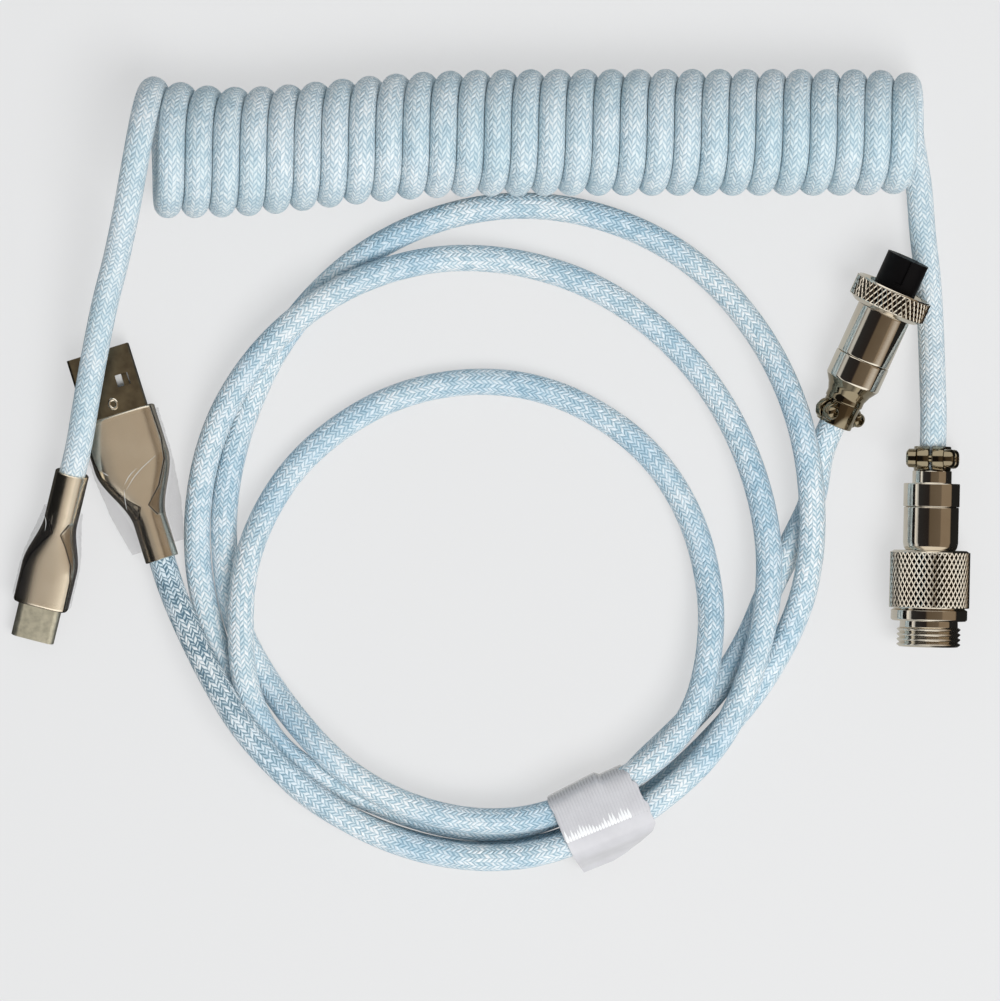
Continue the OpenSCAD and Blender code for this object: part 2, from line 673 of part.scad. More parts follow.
module plug_core() color("black") put(plug_place) difference() {
    rod(core_d, core_rear_z, core_tip_z - core_rear_z);
    translate([-core_d / 2 - 1, -key_w / 2, core_tip_z - key_l]) cube([1 + key_depth, key_w, key_l + 1]);
    for (i = [0:contact_count - 1]) translate(on_circle(contact_circle, i)) {
        rod(tube_d + 2 * joint_play, core_rear_z - 1, core_tip_z - core_face - core_rear_z + 1);
        rod(pin_d + 2 * pin_play, core_tip_z - core_face - eps, core_face + 1);
    }
}

module plug_contacts() color("gold") put(plug_place)
    for (i = [0:contact_count - 1]) translate(on_circle(contact_circle, i)) difference() {
        rod(tube_d, core_rear_z - solder_l, core_tip_z - core_face - core_rear_z + solder_l);
        rod(pin_d + 2 * pin_play, core_tip_z - core_face - pin_l, pin_l + 1);
    }

module plug_wires() color("firebrick") put(plug_place) wires(core_rear_z - solder_l);

// USB housings: a round collar that swells into a flat mouth
block_r = 0.5;
usb_a_film_start = 2.4;
usb_c_film_start = 7.3;
film_early = 3;
film_lap = 0.2;
usb_a_inside = [usb_a_block_t, usb_a_block_w, usb_a_block_l];
usb_c_inside = [usb_c_block_t, usb_c_block_w, usb_c_block_l];
function swell(z, waist, shoulder) = smooth((z - waist) / (shoulder - waist));
function mix(a, b, t) = a + (b - a) * t;
function oval(t, w, power, z) = [
    for (i = [0:31])
        let (a = 360 * i / 32, c = cos(a), s = sin(a))
        [-t / 2 * sign(s) * pow(abs(s), 2 / power), w / 2 * sign(c) * pow(abs(c), 2 / power), z]
];
function levels(from, waist, shoulder, to) =
    [from, each [for (k = [0:6]) waist + (shoulder - waist) * k / 6], to];
function housing_rings(collar_d, t, w, from, waist, shoulder, to) = [
    for (z = levels(from, waist, shoulder, to))
        let (s = swell(z, waist, shoulder))
        oval(mix(collar_d, t, s), mix(collar_d, w, s), mix(2, 3.6, s), z)
];

module housing(collar_d, t, w, l, waist, shoulder, shell_t, shell_w, shell_r, shell_in, block) {
    seat = l - shell_in - block_play;
    difference() {
        skin(housing_rings(collar_d, t, w, 0, waist, shoulder, l));
        rod(2 * cord_bore_r, -1, cord_depth + 1);
        rod(2 * wire_bore_r, 0, seat);
        bar(block[0] + 2 * block_play, block[1] + 2 * block_play, block_r + block_play,
            seat - block[2] - 2 * block_play, block[2] + 2 * block_play + eps);
        bar(shell_t + 2 * block_play, shell_w + 2 * block_play, shell_r, seat, shell_in + 1);
    }
}

module film(collar_w, t, w, l, start, waist, shoulder) {
    outer = 2 * film_reach;
    inner = 2 * film_slack;
    early = max(waist - film_early, start + film_lap);
    difference() {
        skin(housing_rings(collar_w + 2 * film_t, t + outer, w + outer, start, early, shoulder, l - 1));
        skin(housing_rings(collar_w, t + inner, w + inner, start - film_lap / 2, early, shoulder, l));
    }
}

wire_step = 1.24 * wire_d;
module straight_wires(l) {
    for (x = [-1, 1], y = [-1, 1]) translate(wire_step / 2 * [x, y])
        rod(wire_d, cord_depth + wire_end_gap, l - cord_depth - 2 * wire_end_gap);
}

// The USB-A plug
usb_a_seat = usb_a_l - usb_a_shell_in;
usb_a_tip = usb_a_l + usb_a_shell_out;
usb_a_r = 0.5;
window_w = 2.5;
window_l = 2.3;
window_y = 3.1;
window_back = 7.6;

module usb_a_housing() color("tan") put(usb_a_place)
    housing(usb_a_collar_d, usb_a_t, usb_a_w, usb_a_l, usb_a_waist, usb_a_shoulder,
            usb_a_shell_t, usb_a_shell_w, usb_a_r, usb_a_shell_in, usb_a_inside);
module usb_a_film() color([0.9, 0.9, 0.9, 0.3]) put(usb_a_place)
    film(usb_a_collar_d + 2, usb_a_t, usb_a_w, usb_a_l, usb_a_film_start, usb_a_waist, usb_a_shoulder);

module usb_a_shell() color("lightgray") put(usb_a_place) difference() {
    bar(usb_a_shell_t, usb_a_shell_w, usb_a_r, usb_a_seat, usb_a_tip - usb_a_seat);
    bar(usb_a_shell_t - 2 * shell_wall, usb_a_shell_w - 2 * shell_wall, usb_a_r - shell_wall,
        usb_a_seat - 1, usb_a_tip - usb_a_seat + 2);
    for (y = [-window_y, window_y])
        translate([-usb_a_shell_t, y - window_w / 2, usb_a_tip - window_back])
            cube([2 * usb_a_shell_t, window_w, window_l]);
}

tongue_t = 1.9;
tongue_base_l = 2;
tongue_half_t = usb_a_shell_t / 2 - shell_wall - block_play;
tongue_half_w = usb_a_shell_w / 2 - shell_wall - block_play;
tongue_x = tongue_half_t - tongue_t;
strip_t = 0.2;
strip_w = 1;
strip_gap = 0.05;
strip_y = [-3.5, -1, 1, 3.5];
strip_l = usb_a_tip - usb_a_seat - tongue_base_l - 1.6;
module usb_a_tongue() color("white") put(usb_a_place) {
    translate([tongue_x, -tongue_half_w, usb_a_seat])
        cube([tongue_t, 2 * tongue_half_w, usb_a_tip - usb_a_seat - 0.6]);
    translate([-tongue_half_t, -tongue_half_w, usb_a_seat])
        cube([2 * tongue_half_t, 2 * tongue_half_w, tongue_base_l]);
}

module usb_a_contacts() color("gold") put(usb_a_place)
    for (y = strip_y)
        translate([tongue_x - strip_gap - strip_t, y - strip_w / 2, usb_a_seat + tongue_base_l + strip_gap])
            cube([strip_t, strip_w, abs(y) < 2 ? strip_l - 1 : strip_l]);

module usb_block(seat, block) {
    bar(block[0], block[1], block_r, seat - block_play - block[2], block[2] - block_play);
}

module usb_a_block() color("ivory") put(usb_a_place)
    usb_block(usb_a_seat, usb_a_inside);
module usb_a_wires() color("firebrick") put(usb_a_place)
    straight_wires(usb_a_seat - block_play - usb_a_block_l);

// The USB-C plug
usb_c_seat = usb_c_l - usb_c_shell_in;
usb_c_tip = usb_c_l + usb_c_shell_out;
usb_c_r = 1.2;
slot_w = 6.69;
slot_t = 0.92;
slot_depth = 6.5;
board_z = usb_c_seat - usb_c_block_l + 1;
contact_pitch = 0.5;
contact_w = 0.24;
contact_t = 0.12;

module usb_c_housing() color("tan") put(usb_c_place)
    housing(usb_c_collar_d, usb_c_t, usb_c_w, usb_c_l, usb_c_waist, usb_c_shoulder,
            usb_c_shell_t, usb_c_shell_w, usb_c_r, usb_c_shell_in, usb_c_inside);
module usb_c_film() color([0.9, 0.9, 0.9, 0.3]) put(usb_c_place)
    film(usb_c_collar_d + 1, usb_c_t, usb_c_w, usb_c_l, usb_c_film_start, usb_c_waist, usb_c_shoulder);

module usb_c_shell() color("lightgray") put(usb_c_place) difference() {
    bar(usb_c_shell_t, usb_c_shell_w, usb_c_r, usb_c_seat, usb_c_tip - usb_c_seat);
    bar(usb_c_shell_t - 2 * shell_wall, usb_c_shell_w - 2 * shell_wall, usb_c_r - shell_wall,
        usb_c_seat - 1, usb_c_tip - usb_c_seat + 2);
}

module usb_c_contact_block() color("dimgray") put(usb_c_place) difference() {
    bar(usb_c_shell_t - 2 * shell_wall - 2 * joint_play, usb_c_shell_w - 2 * shell_wall - 2 * joint_play,
        usb_c_r - shell_wall - joint_play, usb_c_seat, usb_c_tip - usb_c_seat - 0.5);
    bar(slot_t, slot_w, 0.2, usb_c_tip - slot_depth, slot_depth + 1);
}

module usb_c_contacts() color("gold") put(usb_c_place)
    for (x = [-1, 1], i = [0:11])
        translate([
            x * (slot_t / 2 - contact_t) - contact_t / 2,
            contact_pitch * (i - 5.5) - contact_w / 2,
            usb_c_tip - slot_depth + strip_gap
        ]) cube([contact_t, contact_w, 4.8]);

module usb_c_board() color("darkgreen") put(usb_c_place)
    bar(board_t, board_w, board_t / 5, board_z, usb_c_seat - board_z - block_play);
module usb_c_block() color("ivory") put(usb_c_place) difference() {
    usb_block(usb_c_seat, usb_c_inside);
    bar(board_t + 2 * block_play, board_w + 2 * block_play, board_t / 4,
        board_z - block_play, usb_c_block_l);
}
module usb_c_wires() color("firebrick") put(usb_c_place)
    straight_wires(usb_c_seat - block_play - usb_c_block_l);

// The strap that ties the looped lead, with its free end
tie_shift = 0.3;
tie_mid = (tie_inner + tie_outer) / 2 - tie_shift;
tie_place = [[hub[0] + tie_mid * cos(tie_angle), hub[1] + tie_mid * sin(tie_angle), 0], tie_turn, 0];
strap_in_w = tie_outer - tie_inner + cord_d + 2 * strap_slack;
strap_in_h = tie_high + cord_r + strap_slack - strap_t;
strap_r = 2.4;

module tie_strap() color([0.85, 0.85, 0.87, 0.7]) put(tie_place)
    translate([-strap_in_h / 2 - strap_t, 0, -strap_w / 2]) {
        linear_extrude(strap_w) difference() {
            rounded(strap_in_h + 2 * strap_t, strap_in_w + 2 * strap_t, strap_r);
            rounded(strap_in_h, strap_in_w, strap_r - strap_t);
        }
        translate([strap_in_h / 4, -strap_in_w / 2 - strap_t - strap_tail, 0])
            cube([strap_t, strap_tail + strap_t, strap_w]);
    }

keyboard_tail_cord();
coil_cord();
socket_tail_cord();
usb_c_housing();
usb_c_film();
usb_c_shell();
usb_c_contact_block();
usb_c_contacts();
usb_c_board();
usb_c_block();
usb_c_wires();
socket_back_shell();
socket_clamp_saddle();
socket_clamp_screws();
socket_sleeve();
socket_barrel();
socket_insulator();
socket_pins();
socket_wires();
host_run_cord();
host_loops();
plug_tail_cord();
usb_a_housing();
usb_a_film();
usb_a_shell();
usb_a_tongue();
usb_a_contacts();
usb_a_block();
usb_a_wires();
plug_back_shell();
plug_clamp_saddle();
plug_clamp_screws();
plug_body();
coupling_nut();
snap_ring();
plug_core();
plug_contacts();
plug_wires();
tie_strap();
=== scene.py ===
from math import asin, copysign, cos, degrees, exp, hypot, pi, radians, sin

import bmesh
import bpy
import numpy as np
from mathutils import Matrix, Vector


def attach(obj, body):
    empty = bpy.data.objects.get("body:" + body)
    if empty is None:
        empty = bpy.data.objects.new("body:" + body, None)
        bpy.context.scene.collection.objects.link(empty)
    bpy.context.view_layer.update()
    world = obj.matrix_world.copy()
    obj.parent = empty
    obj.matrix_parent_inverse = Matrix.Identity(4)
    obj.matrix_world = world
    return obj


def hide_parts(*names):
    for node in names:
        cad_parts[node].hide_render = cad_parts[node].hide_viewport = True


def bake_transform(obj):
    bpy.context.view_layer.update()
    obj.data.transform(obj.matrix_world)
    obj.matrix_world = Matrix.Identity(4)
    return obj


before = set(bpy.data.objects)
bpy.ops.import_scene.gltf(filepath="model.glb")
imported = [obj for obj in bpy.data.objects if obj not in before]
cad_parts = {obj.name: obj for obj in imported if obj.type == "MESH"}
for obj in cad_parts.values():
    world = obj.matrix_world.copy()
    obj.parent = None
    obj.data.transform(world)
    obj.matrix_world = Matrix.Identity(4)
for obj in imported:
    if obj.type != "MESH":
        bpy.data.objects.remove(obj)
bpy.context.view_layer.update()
mm = 0.001  # the pieces are modelled in millimetres and scaled when they are placed
scene = bpy.context.scene
scene.view_settings.view_transform = "Standard"
print("frame loaded:", len(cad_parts), "nodes")

# Camera straight above the table
cameraSetup = {"above": 1000, "over": (1.9, -5.7), "viewWidth": 190, "sensor": 36}


def addCamera(setup):
    lens = bpy.data.cameras.new("topCamera")
    lens.sensor_fit = "HORIZONTAL"
    lens.sensor_width = setup["sensor"]
    lens.lens = setup["sensor"] * setup["above"] / setup["viewWidth"]
    camera = bpy.data.objects.new("topCamera", lens)
    camera.location = Vector((*setup["over"], setup["above"])) * mm
    scene.collection.objects.link(camera)
    scene.camera = camera


addCamera(cameraSetup)
print("camera placed")


# A number or a colour in a node tree, with the usual arithmetic
class Value:
    def __init__(self, socket):
        self.socket = socket
        self.tree = socket.id_data

    def calc(self, operation, *others):
        values = dict(enumerate((self, *others)))
        return Value(newNode(self.tree, "Math", values, operation=operation)[0])

    def __rsub__(self, other):
        return self * -1.0 + other


for method, operation in (
    ("__add__", "ADD"), ("__sub__", "SUBTRACT"), ("__mul__", "MULTIPLY"), ("__truediv__", "DIVIDE"),
    ("__pow__", "POWER"), ("__gt__", "GREATER_THAN"), ("__lt__", "LESS_THAN"), ("__abs__", "ABSOLUTE"),
):
    setattr(Value, method, lambda self, *others, name=operation: self.calc(name, *others))


# Node helpers
def startFinish(name):
    finish = bpy.data.materials.new(name)
    finish.use_nodes = True
    tree = finish.node_tree
    return finish, tree, tree.nodes["Principled BSDF"]


def plugIn(socket, value):
    if isinstance(value, Value):
        socket.id_data.links.new(value.socket, socket)
    else:
        socket.default_value = value


def setInputs(node, values):
    for name, value in values.items():
        plugIn(node.inputs[name], value)


def newNode(tree, kind, values=None, **settings):
    node = tree.nodes.new("ShaderNode" + kind)
    for name, setting in settings.items():
        setattr(node, name, setting)
    setInputs(node, values or {})
    return node.outputs


def upTo(value, start, span):
    return ((value - start) / span).calc("MAXIMUM", 0.0).calc("MINIMUM", 1.0)


def fromMiddle(share):
    # 0 in the middle of a cell and 1 at its sides
    return abs(share * 2.0 - 1.0)


def ramp(factor, stops):
    node = factor.tree.nodes.new("ShaderNodeValToRGB")
    elements = node.color_ramp.elements
    while len(elements) < len(stops):
        elements.new(1.0)
    for element, (place, colour) in zip(elements, sorted(stops)):
        element.position = place
        element.color = (*colour, 1.0)
    plugIn(node.inputs["Fac"], factor)
    return Value(node.outputs["Color"])


def tint(factor, a, b, blend="MIX"):
    a, b = (colour if isinstance(colour, Value) else (*colour, 1.0) for colour in (a, b))
    values = {"Factor": factor, 6: a, 7: b}
    return Value(newNode(factor.tree, "Mix", values, data_type="RGBA", blend_type=blend)[2])


def coordsOf(tree, kind):
    return Value(newNode(tree, "TexCoord")[kind])


def splitVector(value):
    return [Value(output) for output in newNode(value.tree, "SeparateXYZ", {0: value})]


def pairUp(a, b):
    return Value(newNode(a.tree, "CombineXYZ", {0: a, 1: b})[0])


def fromMap(tree, mapName):
    return splitVector(Value(newNode(tree, "UVMap", uv_map=mapName)["UV"]))[:2]


def rayKinds(tree):
    path = newNode(tree, "LightPath")
    return Value(path["Is Camera Ray"]), Value(path["Is Glossy Ray"])


def grain(tree, scale, detail=2.0, roughness=0.5):
    values = {"Vector": coordsOf(tree, "Object"), "Scale": scale, "Detail": detail, "Roughness": roughness}
    return Value(newNode(tree, "TexNoise", values)["Fac"])


def mottled(tree, scale, dark, light):
    return ramp(grain(tree, scale, 3.0), [(0.3, dark), (0.7, light)])


def relief(shader, height, strength, depth):
    values = {"Strength": strength, "Distance": depth * mm, "Height": height}
    plugIn(shader.inputs["Normal"], Value(newNode(height.tree, "Bump", values)["Normal"]))


# Mesh helpers
def newObject(name, bm, finish):
    mesh = bpy.data.meshes.new(name)
    bm.to_mesh(mesh)
    bm.free()
    mesh.materials.append(finish)
    made = bpy.data.objects.new(name, mesh)
    scene.collection.objects.link(made)
    return made


def weld(bm):
    bmesh.ops.remove_doubles(bm, verts=bm.verts, dist=1e-4)


def faceOut(bm):
    bmesh.ops.recalc_face_normals(bm, faces=bm.faces)


def spun(angle, axis):
    return Matrix.Rotation(radians(angle), 4, axis)


def hideFrom(item, *rays):
    for ray in rays:
        setattr(item, "visible_" + ray, False)


def wrappedSheet(columns, rows, shape, mapName=None):
    # a flat grid bent into shape, whose touching edges close up
    bm = bmesh.new()
    if mapName:
        bm.loops.layers.uv.new(mapName)
    bmesh.ops.create_grid(bm, x_segments=columns, y_segments=rows, size=0.5, calc_uvs=bool(mapName))
    for vert in bm.verts:
        vert.co = shape(vert.co.x + 0.5, vert.co.y + 0.5)
    weld(bm)
    return bm


def fillMap(bm, mapName, faces, rule):
    layers = bm.loops.layers.uv
    layer = layers.get(mapName) or layers.new(mapName)
    for face in faces:
        for corner in face.loops:
            corner[layer].uv = rule(corner.vert.co, corner[layer].uv)
    return bm


def joinInto(bm, extra):
    mesh = bpy.data.meshes.new("joining")
    extra.to_mesh(mesh)
    extra.free()
    bm.from_mesh(mesh)
    bpy.data.meshes.remove(mesh)
    return bm


def softenEdges(bm, over, offset, segments):
    edges = [e for e in bm.edges if e.calc_face_angle(0) > radians(over)]
    bmesh.ops.bevel(
        bm, geom=edges, offset=offset, offset_type="OFFSET", segments=segments, profile=0.5, affect="EDGES",
        clamp_overlap=True, material=-1,
    )


def smoothStep(t):
    t = min(1, max(0, t))
    return t * t * (3 - 2 * t)


# Studio: pale floor, one large soft lamp, and a banded surround that the polished metal mirrors
studio = {
    "floorTone": 0.806, "floorHalf": 2000, "floorRough": 0.9, "shadowShare": 0.3, "fill": (0.33, 0.35, 0.37),
    "lampPower": 13.5, "lampSize": 700, "lampPlace": (380, -430, 1150),
    # place from left to right, and the floor's tone there in the metal
    "mirrorFloor": [(-66, 0.04), (-48, 0.55), (84, 0.55), (92, 0.02)], "mirrorHalf": 100, "mirrorBlue": 0.95,
    "cardPlace": (-76, -40, 62), "cardSize": (72, 150), "cardPower": 0.0113, "cardColour": (1.0, 0.90, 0.76),
}
flagSetup = {"x": -106, "y": (-70, 40), "top": 60, "colour": (0.01, 0.01, 0.01)}
# angle from overhead towards photo-right, and the light that comes from there
worldBands = [
    (-90, (0.34, 0.34, 0.33)), (-76, (0.36, 0.36, 0.35)), (-73, (0.62, 0.62, 0.60)),
    (-62, (0.60, 0.60, 0.58)), (-59, (0.03, 0.03, 0.03)), (-15, (0.025, 0.02, 0.018)),
    (-9, (0.14, 0.105, 0.07)), (34, (0.17, 0.13, 0.09)), (39, (0.29, 0.22, 0.15)),
    (82, (0.29, 0.22, 0.15)), (87, (0.015, 0.015, 0.015)), (90, (0.01, 0.01, 0.01)),
]
# light from the two ends of the room, mirrored only by slopes that lean up or down the photo
endLight = {
    "top": 0.36, "bottom": 0.46, "over": 0.12, "middle": 12, "half": 54, "fade": 20,
    "colour": (1.3, 1.26, 1.18),
}


def lightWorld(setup, bands, ends):
    world = bpy.data.worlds.new("studioWorld")
    scene.world = world
    world.use_nodes = True
    tree = world.node_tree
    x, y, z = splitVector(coordsOf(tree, "Generated"))
    turn = x.calc("ARCTAN2", z)
    stops = [((angle + 90) / 180, light) for angle, light in bands]
    topEnd = upTo(y, ends["top"], ends["over"])
    bottomEnd = upTo(y * -1.0, ends["bottom"], ends["over"])
    aside = abs(turn - radians(ends["middle"]))
    beyond = upTo(aside, radians(ends["half"]), radians(ends["fade"]))
    lit = topEnd.calc("MAXIMUM", bottomEnd) * (1 - beyond)
    mirrored = tint(lit, ramp(turn * (1 / pi) + 0.5, stops), ends["colour"])
    isSeen, isMirrored = rayKinds(tree)
    seen = tint(isSeen, setup["fill"], (setup["floorTone"],) * 3)
    plugIn(tree.nodes["Background"].inputs["Color"], tint(isMirrored, seen, mirrored))


def addLamp(name, power, place):
    light = bpy.data.lights.new(name, "AREA")
    light.energy = power
    lamp = bpy.data.objects.new(name, light)
    lamp.location = Vector(place) * mm
    scene.collection.objects.link(lamp)
    return lamp


def addLamps(setup):
    soft = addLamp("softLamp", setup["lampPower"], setup["lampPlace"])
    soft.data.size = setup["lampSize"] * mm
    soft.rotation_euler = (-soft.location).to_track_quat("-Z", "Y").to_euler()
    hideFrom(soft, "glossy")
    # a card over the two USB plugs that only mirrors see
    card = addLamp("mirrorCard", setup["cardPower"], setup["cardPlace"])
    card.data.shape = "RECTANGLE"
    card.data.size, card.data.size_y = (side * mm for side in setup["cardSize"])
    card.data.color = setup["cardColour"]
    hideFrom(card, "camera", "diffuse")


def addFlag(setup):
    # a black flag beside the USB plugs, outside the view, that only mirrors see
    cloth, tree, shader = startFinish("blackFlag")
    setInputs(shader, {"Base Color": (*setup["colour"], 1.0), "Specular IOR Level": 0.0})
    x, (first, last), top = setup["x"], setup["y"], setup["top"]
    corners = ((x, first, 0), (x, last, 0), (x, last, top), (x, first, top))
    bm = bmesh.new()
    bm.faces.new([bm.verts.new(Vector(corner) * mm) for corner in corners])
    flag = newObject("blackFlag", bm, cloth)
    hideFrom(flag, "camera", "diffuse", "shadow")


def addFloor(setup):
    paint, tree, shader = startFinish("paleFloor")
    tone = (setup["floorTone"],) * 3
    values = {"Base Color": (*tone, 1.0), "Roughness": setup["floorRough"], "Specular IOR Level": 0.0}
    setInputs(shader, values)
    half, blue = setup["mirrorHalf"], setup["mirrorBlue"]
    aside = upTo(splitVector(coordsOf(tree, "Object"))[0], -half * mm, 2 * half * mm)
    stops = [(place / (2 * half) + 0.5, (t, t, blue * t)) for place, t in setup["mirrorFloor"]]
    isSeen, isMirrored = rayKinds(tree)
    even = (isSeen * (1 - setup["shadowShare"])).calc("MAXIMUM", isMirrored)
    glow = newNode(tree, "Emission", {"Color": tint(isMirrored, tone, ramp(aside, stops))})["Emission"]
    mixed = newNode(tree, "MixShader", {"Fac": even, 1: Value(shader.outputs["BSDF"]), 2: Value(glow)})
    plugIn(tree.nodes["Material Output"].inputs["Surface"], Value(mixed["Shader"]))
    bm = bmesh.new()
    bmesh.ops.create_grid(bm, x_segments=1, y_segments=1, size=setup["floorHalf"] * mm)
    floor = newObject("paleFloor", bm, paint)


lightWorld(studio, worldBands, endLight)
addLamps(studio)
addFlag(flagSetup)
addFloor(studio)
print("studio lit")


# Places of the connectors: where the cord enters, heading and climb in degrees
usbCPlace = {"at": (-78.6, -0.5, 9.251), "heading": 255.5, "climb": -12}
usbAPlace = {"at": (-62, -16.8, 4.45), "heading": 107.3, "climb": 0}
socketPlace = {"at": (83.5, 4.5, 7.55), "heading": -91.3, "climb": 0}
plugPlace = {"at": (64.9, 8.8, 5.6), "heading": 66, "climb": 8}


def headingOf(place):
    turn, climb = radians(place["heading"]), radians(place["climb"])
    return Vector((cos(climb) * cos(turn), cos(climb) * sin(turn), sin(climb)))


def along(place, distance):
    return Vector(place["at"]) + distance * headingOf(place)


def placing(place):
    # local x is left of the heading, y is up and z runs along it
    forward = headingOf(place)
    left = Vector((0, 0, 1)).cross(forward).normalized()
    up = forward.cross(left)
    turn = Matrix((left, up, forward)).transposed().to_4x4()
    return Matrix.Translation(Vector(place["at"]) * mm) @ turn @ Matrix.Scale(mm, 4)


# angles from which edges stay sharp
plainSharp, knurlSharp = 35, 28


def addPiece(name, bm, finish, body, nodes=(), place=None, sharp=plainSharp):
    bm.transform(placing(place) if place else Matrix.Scale(mm, 4))
    piece = newObject(name, bm, finish)
    piece.data.shade_smooth()
    piece.data.set_sharp_from_angle(angle=radians(sharp))
    if body:
        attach(piece, body)
    if nodes:
        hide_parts(*nodes)
    return piece


# Cord routes, within half a millimetre of the frame's
cord = {
    "diameter": 4.8, "loft": 0.1, "sides": 24, "ringStep": 1.0, "columns": 20, "stitch": 1.0, "depth": 6,
    "straight": 5, "socketStraight": 6,
}
coil = {
    "turns": 28, "pitch": 5.05, "radius": 9.4, "y": 63.4, "lastX": 78.5, "lean": 1.2, "startAngle": -15,
    "sway": 0.33, "swayIn": 180, "droop": 3.7, "droopAt": 13, "droopLength": 27, "flare": 1.4,
    "flareLength": 10, "pinch": 0.6, "pinchLength": 4, "step": 15, "crest": 90, "away": (0.16, -1, 0),
}
cordRadius = cord["diameter"] / 2
coilFirstX = coil["lastX"] - coil["turns"] * coil["pitch"]
coilEndAngle = coil["turns"] * 360 + 180


def coilPoint(angle):
    past = angle - coil["crest"]
    early = max(0, -past / (coil["crest"] - coil["startAngle"]))
    x = coilFirstX + coil["pitch"] * past / 360 - coil["lean"] * early * early
    bow = coil["droop"] * exp(-(((x - coilFirstX - coil["droopAt"]) / coil["droopLength"]) ** 2))
    flare = coil["flare"] * exp((coilFirstX - x) / coil["flareLength"])
    r = coil["radius"] + flare - coil["pinch"] * exp((x - coil["lastX"]) / coil["pinchLength"])
    turn = radians(angle)
    x -= coil["sway"] * min(1, max(0, past / coil["swayIn"])) * sin(2 * turn)
    return Vector((x, coil["y"] - bow + r * sin(turn), cordRadius + r + r * cos(turn)))


hank = {
    "hub": (1.9, -13), "tieAngle": -70, "loops": 3, "tieTurn": 22, "tieInner": 51.5, "tieOuter": 58.1,
    "tuck": 0.75, "tieLow": 3.6, "tieHigh": 8.9, "lie": 2.4, "startGap": 15, "endGap": 10, "step": 7.5,
}
lie, low, high = hank["lie"], hank["tieLow"], hank["tieHigh"]
inner, outer, tuck = hank["tieInner"], hank["tieOuter"], hank["tuck"]
# angle round the hub, reach from it and height
loopStations = np.array([
    (-70, outer, high), (-45, 56.2, 8.2), (-25, 53.1, 8), (-10, 51.4, 8), (20, 49.2, 4.6), (50, 49.5, lie),
    (80, 51.8, lie), (105, 54.4, 4.8), (132, 56.4, 8.4), (155, 57.5, 6.6), (170, 57.5, 4.2), (182, 57.4, lie),
    (200, 57.4, lie), (216, 59, lie), (230, 60.4, lie), (250, 60.1, lie), (270, 59.7, 2.5),
    (290, outer - tuck, low), (315, 55.4, 2.7), (335, 56.7, 2.9), (350, 58.2, 6), (366, 59.1, 8.9),
    (380, 60.4, 9), (396, 62.1, 5.6), (418, 63.9, 2.8), (445, 63.4, lie), (470, 60.5, lie),
    (494, 56.5, lie), (515, 53.6, lie), (540, 52.3, lie), (560, 52.2, lie), (572, 51.6, 2.7),
    (582, 51.5, 6.4), (590, 51.9, 8.8), (602, 52.7, 9), (630, 53.2, 8.1), (650, inner, high),
    (675, 49.4, 8.2), (695, 43.8, 7), (715, 38.6, 4), (740, 33.9, lie), (770, 30.2, lie), (800, 29.4, lie),
    (830, 31.1, lie), (860, 35.8, lie), (885, 42.2, 3.4), (905, 47.9, 7.2), (920, 52, 7.9), (932, 55.8, 7.5),
    (942, 57.2, 7.2), (949, 56.9, 6.5), (956, 55.8, 5), (966, 54.9, 3), (990, 54.75, 2.5),
    (1010, inner + tuck, low),
])


def stationSlope(i):
    before, after = loopStations[max(0, i - 1)], loopStations[min(len(loopStations) - 1, i + 1)]
    return (after - before) / (after[0] - before[0])


def loopPoint(angle):
    i = min(len(loopStations) - 2, int(np.searchsorted(loopStations[:, 0], angle, "right")) - 1)
    p, q = loopStations[i], loopStations[i + 1]
    h = q[0] - p[0]
    t = (angle - p[0]) / h
    s = p * (1 + 2 * t) * (1 - t) ** 2 + q * t * t * (3 - 2 * t)
    s = s + stationSlope(i) * h * t * (1 - t) ** 2 - stationSlope(i + 1) * h * t * t * (1 - t)
    turn = radians(angle)
    x, y = hank["hub"]
    return Vector((x + s[1] * cos(turn), y + s[1] * sin(turn), max(lie, s[2])))


def keyboardRoute():
    d = cord["diameter"]
    start, end = coilPoint(coil["startAngle"]), coilPoint(coilEndAngle)
    lead = (coilPoint(coil["startAngle"] + 1) - coilPoint(coil["startAngle"] - 1)).normalized()
    angles = np.arange(coil["startAngle"], coilEndAngle + 0.1, coil["step"])
    away = d * Vector(coil["away"]).normalized()
    rise = [(-76, 11.5, 11.8), (-74.2, 21, 13.6), (-72, 31, 15.8), (-69.6, 40, 17.6)]
    drop = [(82, 45, lie), (83, 36, lie), (83.5, 27, 2.8), (83.6, 18, 5.4)]
    return [
        along(usbCPlace, cord["depth"]), along(usbCPlace, -cord["straight"]), *[Vector(p) for p in rise],
        start - 2 * d * lead, start - d * lead, *[coilPoint(a) for a in angles], end + away, end + 2 * away,
        *[Vector(p) for p in drop], along(socketPlace, -cord["socketStraight"]),
        along(socketPlace, cord["depth"]),
    ]


